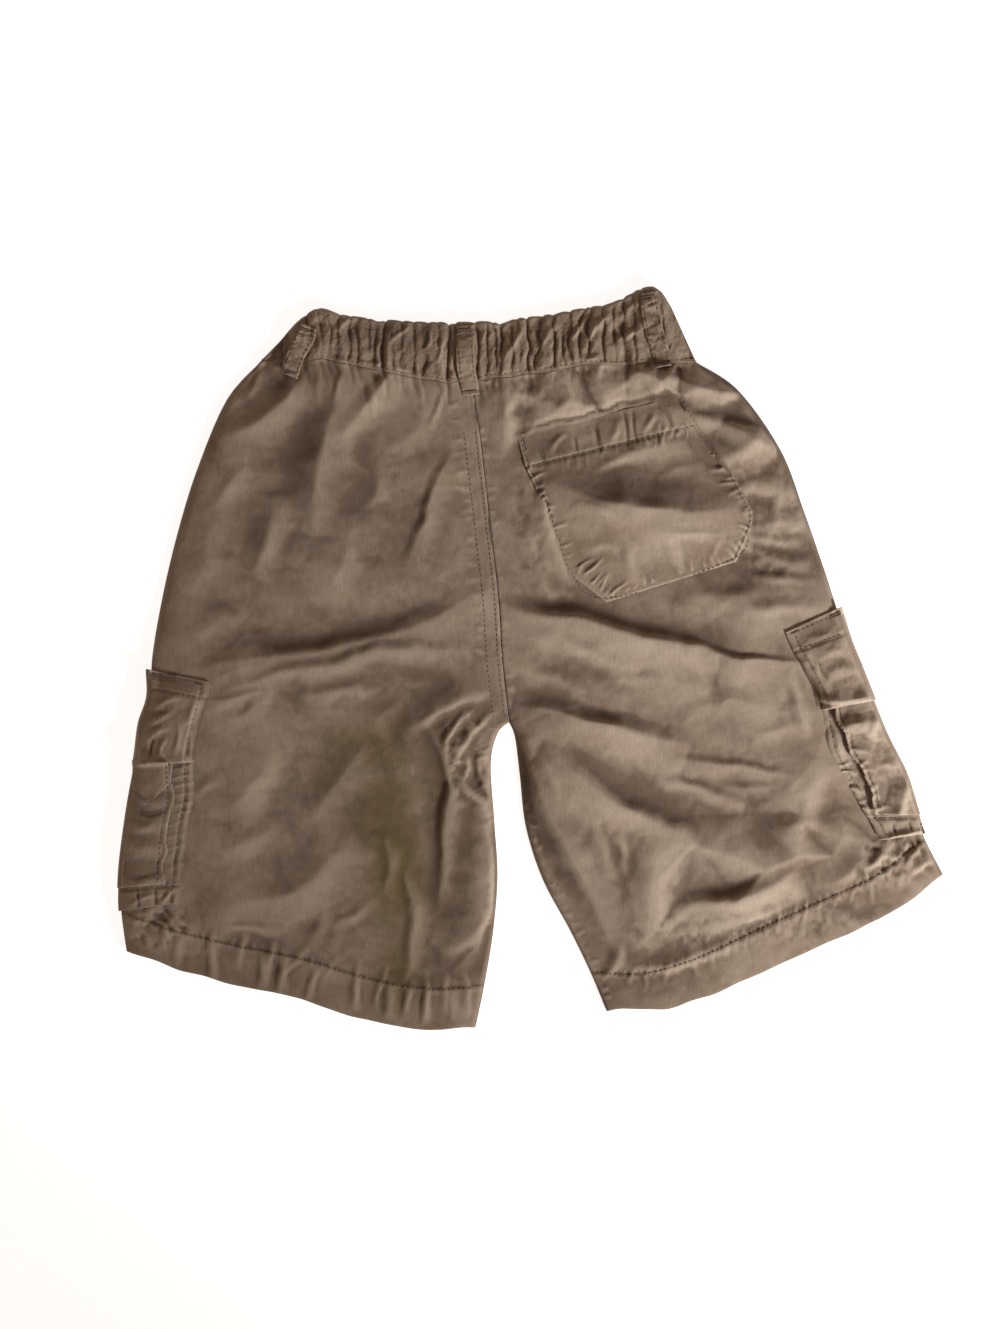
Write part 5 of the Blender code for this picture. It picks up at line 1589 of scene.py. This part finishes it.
SIDE_CREASES = {
    ("left", "gusset"): rungs((-227, -210), (-52, -58, -63, -69, -75, -81), 0.45, 1.3, 1.0)
    + rungs((-236, -219), (-88, -96, -104, -115, -117), 0.35, 1.3, 1.5)
    + creases(
        (-0.9, 1.8, 1.8, (-255, -141), (-254, -134), (-254, -127)),
        (-0.9, 1.8, 1.8, (-243, -141), (-242, -134), (-242, -127)),
        (1.0, 2.5, 3.0, (-240, -140), (-234, -133), (-229, -128)),
        (0.9, 2.0, 3.0, (-262, -138), (-250, -133), (-236, -132)),
    ),
    ("left", "face"): creases(
        (-1.6, 9, 9, (-264, -112), (-250, -116), (-236, -113)),
        (1.2, 7, 8, (-262, -96), (-248, -102), (-232, -99)),
        (1.0, 5, 7, (-258, -84), (-246, -88), (-230, -84)),
        (0.9, 4, 5, (-252, -66), (-242, -72), (-230, -70)),
        (-1.0, 3.5, 3.5, (-252, -76), (-240, -80), (-228, -76)),
        (0.8, 4, 5, (-260, -122), (-248, -124), (-236, -121)),
    ),
    ("left", "flap"): creases(
        (1.0, 3, 4, (-242, -27), (-232, -20), (-218, -14)),
        (0.9, 3, 4, (-244, -34), (-234, -28), (-222, -24)),
        (0.8, 3, 4, (-236, -12), (-226, -8), (-214, -5)),
        (0.9, 2.4, 3, (-222, -44), (-219, -34), (-216, -22)),
        (-0.9, 2, 2, (-238, -46), (-236, -38), (-235, -30)),
        (0.8, 2, 2.6, (-230, -46), (-229, -38), (-226, -31)),
        (-0.8, 2, 2, (-214, -46), (-213, -38), (-212, -30)),
        (0.7, 2, 3, (-246, -44), (-244, -38), (-243, -31)),
        (0.6, 3, 3, (-212, -24), (-208, -16), (-204, -8)),
    ),
    ("right", "gusset"): creases(
        (0.9, 2.0, 2.4, (203, -87), (209, -88), (216, -86)),
        (1.2, 1.6, 2.2, (204, -93), (212, -92), (219, -95)),
        (0.7, 2.2, 2.0, (207, -98), (213, -99), (217, -97)),
        (1.1, 1.8, 2.6, (208, -105), (214, -103), (222, -107)),
        (0.8, 1.5, 2.0, (212, -110), (217, -112), (223, -110)),
        (1.0, 2.2, 2.4, (214, -118), (219, -116), (225, -119)),
        (1.2, 4, 5, (199, -46), (203, -54), (202, -62)),
        (1.6, 7, 8, (201, -62), (207, -73), (211, -86)),
        (1.6, 4, 3, (218, -141), (240, -137), (272, -132)),
        (-0.8, 1.6, 1.6, (240, -138), (239, -132), (238, -127)),
        (-0.8, 1.6, 1.6, (250, -135), (249, -130), (248, -126)),
    ),
    ("right", "face"): creases(
        (0.9, 2.2, 3.0, (210, -80), (219, -79), (228, -82)),
        (1.1, 1.8, 2.2, (213, -88), (220, -89), (226, -86)),
        (0.7, 2.4, 2.0, (216, -94), (223, -92), (231, -94)),
        (1.1, 2.0, 2.8, (217, -102), (224, -104), (232, -100)),
        (0.8, 1.6, 2.2, (220, -110), (227, -109), (233, -112)),
        (0.9, 2.4, 2.4, (222, -117), (228, -119), (236, -116)),
        (3.0, 8, 12, (184, -62), (218, -62), (262, -58)),
        (3.0, 11, 8, (240, -134), (246, -113), (260, -92)),
        (1.4, 5, 6, (222, -58), (228, -66), (238, -76)),
        (1.2, 5, 5, (236, -56), (231, -66), (226, -76)),
        (1.1, 6, 7, (230, -84), (238, -90), (248, -92)),
        (0.9, 4, 5, (238, -121), (247, -119), (257, -115)),
        (0.8, 3, 4, (232, -122), (244, -123), (256, -121)),
        (-1.1, 4, 4, (228, -96), (233, -106), (234, -118)),
    ),
    ("right", "flap"): creases(
        (2.6, 9, 4, (188, -40), (210, -46), (246, -43)),
        (1.0, 6, 7, (196, -18), (208, -14), (222, -14)),
        (0.8, 5, 6, (200, -30), (212, -26), (226, -28)),
        (-0.8, 2.5, 2.5, (196, -16), (200, -24), (203, -32)),
        (0.7, 3, 3, (190, -6), (202, -2), (214, 1)),
    ),
}


# %% Relief of the side pockets
LAYERS = ("gusset", "face", "flap")  # from the leg outwards
POCKET_RUMPLE = {"left": 0.45, "right": 0.62}  # mm
LIP_RISE = {"left": 0.1, "right": 0.9}  # mm, the folded edge of the face
DEEPEST = 0.6  # mm that a crease may sink into a sheet


def pocket_relief(side, name, at, across, from_rear, inset_share, plan, free):
    """Creases, rumple, raised edges and stitched grooves of one sheet, on the grid of its pocket."""
    lines = crease_height(SIDE_CREASES[side, name], wander(plan, 1.0, 9, 130))
    seed, turn = 131 + 20 * LAYERS.index(name), 70 if name == "gusset" else 20
    rumple = POCKET_RUMPLE[side] * crumple(plan, 14, seed, 1.3, turn)
    relief = lines + rumple * (0.35 + 0.65 * free)
    rear = across * from_rear
    if name == "flap":  # its foot stands up, and two rows of thread hold its top
        relief += 1.9 * hump(at, FLAP_EDGE, 0.22)[:, None] * (0.7 + 0.3 * np.sin(9 * across))
        relief -= (0.5 * hump(at, 1.0, 0.07) + 0.4 * hump(at, 0.16, 0.06))[:, None]
    if name in ("flap", "gusset"):  # the seam along the rear is raised, beside a row of thread
        welt = np.clip(0.65 + 0.5 * noise(plan, 9, 126), 0, 1.2)
        relief += welt * (0.75 * hump(rear, 2.4, 1.7) - 0.35 * hump(rear, 5.4, 0.9))
    if name == "face":
        lip = (across - inset_share) * from_rear
        relief += LIP_RISE[side] * hump(lip, 1.4, 1.3) - 0.3 * hump(lip, 4.0, 0.8)
    if name == "gusset":  # the plain band across the foot
        band = np.abs(at - LOWER - 0.5) < 0.5
        relief += (0.5 * band - 0.6 * hump(at, LOWER + 0.08, 0.05))[:, None]
    return np.maximum(relief, -DEEPEST)


# %% Sheets of the side pockets
POCKET_SWELL_BACK, SEWN_DROP = 1.6, 0.85  # mm
FLAP_CLOTH, POCKET_CLOTH = 0.5, 0.15  # mm added to the thickness away from the seams
TAB_SHADOW = (-240, -68, 13, 0.9)  # painted shadow on the pocket around the tab's point: place, reach, strength


def side_pocket(side):
    """The gusset, face and flap of one bellows pocket."""
    at, points, outward, share, inset_share = side_grid(side)
    rows, columns = points.shape[:2]
    plan = points[:, :, :2]
    column = np.arange(columns)
    on_back = (column < BACK_COLUMNS)[None, :] * np.ones((rows, 1))
    across = np.concatenate([share, np.ones(columns - BACK_COLUMNS)])[None, :]
    turned = np.clip((column - BACK_COLUMNS + 1) / TURN_COLUMNS, 0, 1)[None, :]
    from_rear = np.linalg.norm(plan[:, BACK_COLUMNS - 1] - plan[:, 0], axis=1)[:, None]  # width on the back
    middle = ((at[:-1] + at[1:]) / 2)[:, None]
    cells = {
        "gusset": (middle >= LOWER - 0.05) | (across[:, :-1] < inset_share[:-1] + 0.12),
        "face": (middle < LOWER) & (across[:, :-1] > inset_share[:-1]),
        "flap": (middle < FLAP_EDGE) & np.ones((1, columns - 1), bool),
    }
    free = smoothstep(0.0, 0.22, across) * (0.3 + 0.7 * smoothstep(0, 1.2, at))[:, None]
    free = np.where(on_back > 0, free, 1.0)  # 0 where it is sewn down
    swell = POCKET_SWELL_BACK * np.sin(np.pi * at / at[-1])[:, None] * np.sin(np.pi * across) * on_back * free
    panel = height_on(surface_of([backs[side]]), plan)
    near_top = (1 - smoothstep(0.0, 1.3, at))[:, None] * (1 - smoothstep(0.85, 1.0, across))
    near_top = near_top * on_back * (panel > 0)
    pieces = {}
    for level, name in enumerate(LAYERS):
        start = LAYER * level * (0.2 + 0.8 * free) - SEWN_DROP * (1 - free)
        if level:
            start = start + swell - LAYER * turned
        relief = pocket_relief(side, name, at, across, from_rear, inset_share, plan, free)
        start = start + relief * on_back
        above = points[:, :, 2] + start + POCKET_WALL - panel - CLOTH - 0.2 * level
        start -= near_top * np.maximum(above, 0)
        outer = points + outward * (start + POCKET_WALL)[:, :, None]
        thickness = 0.4 + (FLAP_CLOTH if name == "flap" else POCKET_CLOTH) * free
        inner = outer - outward * thickness[:, :, None]
        stands, sinks = worn(start * on_back)
        wear = stands * on_back
        if name == "flap":
            wear = wear + 0.6 * hump(at, FLAP_EDGE, 0.06)[:, None]
        if name == "face":
            wear = wear + 0.5 * LIP_RISE[side] * hump(across, inset_share, 0.03)
        x, y, reach, strength = TAB_SHADOW
        from_tab = np.hypot(plan[:, :, 0] - x, plan[:, :, 1] - y)
        under_tab = (side == "left") * strength * hump(from_tab, 0, reach)
        marks = patch_marks(plan)
        # Painted shade in the hollows of the sheet on the back, and the painted shadow around the tab's point
        marks["worn"], marks["painted_shade"] = np.clip(wear, 0, 1), np.clip(sinks * on_back + under_tab, 0, 1)
        piece = cloth_sheet(f"cloth_side_pocket_{name}_{side}", outer, inner, marks, cells[name])
        pieces[name] = dress(piece, *TWILL, f"side_pocket_{name}_{side}")
    return pieces


side_pockets = {side: side_pocket(side) for side in ("left", "right")}
for made in side_pockets.values():
    print([f"{piece.name}: {len(piece.data.polygons)} faces" for piece in made.values()])


# %% [markdown]
# ## The tab
#
# A small pointed tab hangs from under the left flap. It is cut double, so it stays smoother than the
# pocket.

# %% Tab on the left flap
TAB = rows_of(PatchRow, [
    ("root", -250, -44, -226, -47),
    ("shoulder", -251, -62, -227, -62),
    ("point", -242, -71, -238, -71),
])
TAB_WIDTH = 25  # mm


def tab():
    plan, at, across = patch_grid(TAB, 0.8)
    ground = surface_of([side_pockets["left"]["flap"], side_pockets["left"]["face"]])
    under = height_on(ground, plan)
    for _ in range(6):
        padded = np.pad(under, 1, mode="edge")
        around = padded[:-2, 1:-1] + padded[2:, 1:-1] + padded[1:-1, :-2] + padded[1:-1, 2:]
        under = np.maximum(under, around / 4)
    to_edge = np.minimum(across, 1 - across)[None] * TAB_WIDTH
    level = under + 1.5 + 0.2 * crumple(plan, 14, 140)
    level -= 0.25 * hump(to_edge, 2.0, 0.6)
    level -= 0.3 * hump(to_edge, 0, 0.5)
    marks = patch_marks(plan)
    marks["painted_shade"], marks["faded_and_painted_light"] = np.zeros_like(level), np.full_like(level, 0.9)
    marks["worn"] = np.full_like(level, 0.6) + 0.4 * hump(to_edge, 0, 1.0)
    return cloth_piece("side_pocket_tab_left", plan, level, level - 0.9, marks, TRIM, "side_pocket_tab")


pocket_tab = tab()
print("tab:", len(pocket_tab.data.polygons), "faces")

# %% [markdown]
# ## Stitches
#
# Every seam is held by rows of lockstitch. From outside, each stitch is a short length of thread that lies
# on the cloth and dips into it at both ends, so a seam reads as a row of small dashes. Where a seam is
# pulled hard, as at a pocket's mouth or a belt loop, a bar tack of dense zigzag holds it.

# %% Rows of thread
THREAD_RADIUS = 0.21  # mm
STITCH_LENGTH, STITCH_STEP = 2.6, 3.3  # mm
TACK_WIDTH, TACK_STEP, TACK_SLANT = 1.8, 0.55, 0.44  # mm
THREAD_SIDES = 6
# One stitch dips into the cloth at both ends: the share along it, its thickness there, its height in mm
THREAD_SHAPE = ((0.0, 0.4, -0.16), (0.16, 0.9, 0.06), (0.5, 1.0, 0.14), (0.84, 0.9, 0.06), (1.0, 0.4, -0.16))
on_top = surface_of([band_back, *backs.values(), seat_patch, *loops, pocket_tab]
                    + [piece for made in side_pockets.values() for piece in made.values()])


def row_of_stitches(line, aside=0.0, skip=()):
    """Both ends of each stitch on a line, aside millimetres to its left and outside the x spans of skip."""
    path = even_points(line, 0.5)
    along = np.gradient(path, axis=0)
    along /= np.linalg.norm(along, axis=1)[:, None]
    path = path + aside * np.column_stack([-along[:, 1], along[:, 0]])
    run = np.concatenate([[0], np.cumsum(np.linalg.norm(np.diff(path, axis=0), axis=1))])
    starts = np.arange(0.8, run[-1] - STITCH_LENGTH, STITCH_STEP)
    first, last = (np.column_stack([np.interp(at, run, path[:, k]) for k in range(2)])
                   for at in (starts, starts + STITCH_LENGTH))
    shown = np.ones(len(starts), bool)
    for low, high in skip:
        shown &= (first[:, 0] < low) | (first[:, 0] > high)
    return first[shown], last[shown]


def bar_tack(start, end):
    """Both ends of each thread of a dense zigzag along a short bar."""
    start, end = np.array(start, float), np.array(end, float)
    length = np.linalg.norm(end - start)
    along = (end - start) / length
    square = np.array([-along[1], along[0]]) * TACK_WIDTH / 2
    at = start + along * np.arange(0, length, TACK_STEP)[:, None]
    return at - square, at + square + along * TACK_SLANT


def sew(name, rows):
    """One mesh of all the threads of some rows, each thread laid on the cloth below it."""
    first, last = (np.vstack([row[k] for row in rows]) for k in (0, 1))
    heights = [height_on(on_top, ends) for ends in (first, (first + last) / 2, last)]
    start, end = np.column_stack([first, heights[0]]), np.column_stack([last, heights[2]])
    crown = np.maximum(heights[1] - (heights[0] + heights[2]) / 2, 0)
    along = end - start
    along /= np.linalg.norm(along, axis=1)[:, None]
    square = np.cross(along, (0, 0, 1.0))
    square /= np.linalg.norm(square, axis=1)[:, None]
    upward = np.cross(square, along)
    angles = 2 * np.pi * np.arange(THREAD_SIDES) / THREAD_SIDES
    around = square[:, None] * np.cos(angles)[None, :, None] + upward[:, None] * np.sin(angles)[None, :, None]
    rings = []
    for share, thick, lift in THREAD_SHAPE:
        centre = start + (end - start) * share
        centre[:, 2] += lift + crown * 4 * share * (1 - share)
        rings.append(centre[:, None] + THREAD_RADIUS * thick * around)
    points = np.stack(rings, axis=1).reshape(-1, 3) * MM
    faces = []
    for stitch in range(len(start)):
        base = stitch * THREAD_SIDES * len(THREAD_SHAPE)
        last_ring = base + THREAD_SIDES * (len(THREAD_SHAPE) - 1)
        for ring in range(base, last_ring, THREAD_SIDES):
            for k in range(THREAD_SIDES):
                a, b = ring + k, ring + (k + 1) % THREAD_SIDES
                faces.append((a, a + THREAD_SIDES, b + THREAD_SIDES, b))
        faces.append(tuple(base + k for k in range(THREAD_SIDES)))
        faces.append(tuple(last_ring + k for k in reversed(range(THREAD_SIDES))))
    mesh = bpy.data.meshes.new(name)
    mesh.from_pydata(points.tolist(), [], faces)
    mesh.shade_smooth()
    return dress(new_object(name, mesh), thread, "khaki_twill_trim")


# %% Where the threads run
def side_rows(side):
    """Rows of a side pocket: along its rear seam, its face's edge, its flap's top and its gusset's foot."""
    table, inwards = SIDE_ROWS[side], {"left": -1, "right": 1}[side]

    def across(row, start=0.08, end=0.94):
        low, high = int(row), min(int(row) + 1, len(table) - 1)
        ends = np.array([table[low][1:5], table[high][1:5]], float)
        side_x, side_y, rear_x, rear_y = ends[0] + (ends[1] - ends[0]) * (row - low)
        rear, fold = np.array([rear_x, rear_y]), np.array([side_x, side_y])
        return [rear + (fold - rear) * start, rear + (fold - rear) * end]

    rear = [(row.rear_x, row.rear_y) for row in table]
    lip = [(row.rear_x + inwards * row.inset, row.rear_y) for row in table[FLAP_EDGE:LOWER + 1]]
    rows = [row_of_stitches(rear, 5.4 * inwards), row_of_stitches(lip, 3.6 * inwards)]
    rows += [row_of_stitches(across(row)) for row in (0.18, 0.98, LOWER + 0.1)]
    return rows


LOOP_ROW, TACK_REACH = 4.3, 4.2  # mm from a belt loop's middle to its rows and to the ends of its tacks


def loop_rows(loop):
    """Two rows along a belt loop, and a bar tack across each of its ends."""
    top, end = np.array([loop.top_x, loop.top_y]), np.array([loop.end_x, loop.end_y])
    along = (end - top) / np.linalg.norm(end - top)
    across = np.array([-along[1], along[0]])
    reach = across * TACK_REACH
    tacks = [bar_tack(place - reach, place + reach) for place in (top + along * 3, end - along * 2.6)]
    return [row_of_stitches([top, end], aside) for aside in (-LOOP_ROW, LOOP_ROW)] + tacks


LOOP_SPANS = ((-130, -112), (-18, -4), (104, 121))  # of x, where a belt loop covers the waist seam
SEAM_ROWS, SEAM_TOP = (2.2, 9.6), 174  # mm left of the centre seam, and where the middle loop hides it
POCKET_HEM = [(25, 123.6), (134, 140.5)]
ABOVE_SEAM, POCKET_ROW = 2.0, 2.4  # mm from the waist seam and from the seat pocket's edge

seam_rows = [row_of_stitches([(x - away, y) for x, y in SEAT_SEAM if y < SEAM_TOP]) for away in SEAM_ROWS]
waist_rows = [row_of_stitches([(x, y + ABOVE_SEAM) for x, y in line], 0, LOOP_SPANS)
              for line in waist_lines.values()]
seat_pocket_rows = [row_of_stitches(SEAT_POCKET_OUTLINE, POCKET_ROW), row_of_stitches(POCKET_HEM),
                    bar_tack((21.5, 142), (23, 134)), bar_tack((124.5, 158.5), (128, 150))]
left_tacks = [bar_tack((-222, 9.5), (-216, 8)), bar_tack((-204, 2), (-199, 0))]
stitches = {name: sew("stitches_" + name, rows) for name, rows in {
    "back_left": [row_of_stitches(hem_lines["left"]), *seam_rows],
    "back_right": [row_of_stitches(hem_lines["right"])],
    "waistband": waist_rows,
    "seat_pocket": seat_pocket_rows,
    "side_pocket_left": side_rows("left") + left_tacks,
    "side_pocket_right": side_rows("right") + [bar_tack((183, 0), (188, 2))],
    "belt_loops": [row for loop in BELT_LOOPS for row in loop_rows(loop)],
}.items()}
faces_each = THREAD_SIDES * (len(THREAD_SHAPE) - 1) + 2
print("stitches:", {name: len(piece.data.polygons) // faces_each for name, piece in stitches.items()})


# %% [markdown]
# ## The cut of each sheet
# Last, a table lists for each piece of cloth the size it was cut to before it was sewn, whether it lies
# laid, gathered or folded, the pieces it lies on and its stitches. The panels lie flat, the waistband is
# gathered on its elastic, and the side pockets are folded. The width and length are those of the piece
# laid out.


CUTS = [
    (fronts["left"], 262, 460, "laid", ["table_top"], []),
    (fronts["right"], 262, 460, "laid", ["table_top"], []),
    (backs["left"], 262, 460, "laid", ["cloth_front_left"], [stitches["back_left"]]),
    (backs["right"], 262, 460, "laid", ["cloth_front_right"], [stitches["back_right"]]),
    (band_front, 262, 42, "laid", ["table_top"], []),
    (band_back, 330, 62, "gathered", ["cloth_waistband_front"], [stitches["waistband"]]),
    (seat_patch, 146, 132, "laid", ["cloth_back_right"], [stitches["seat_pocket"]]),
    (pocket_tab, 27, 30, "laid", ["cloth_side_pocket_flap_left"], []),
]
for k, piece in enumerate(loops):
    CUTS.append((piece, 14, 50, "laid", ["cloth_waistband_back"], [stitches["belt_loops"]] if k == 1 else []))
for side, made in side_pockets.items():
    CUTS += [
        (made["gusset"], 24, 262, "folded", [f"cloth_back_{side}", f"cloth_front_{side}"], []),
        (made["face"], 108, 134, "folded", [f"cloth_side_pocket_gusset_{side}"],
         [stitches[f"side_pocket_{side}"]]),
        (made["flap"], 116, 70, "folded", [f"cloth_side_pocket_face_{side}"], []),
    ]
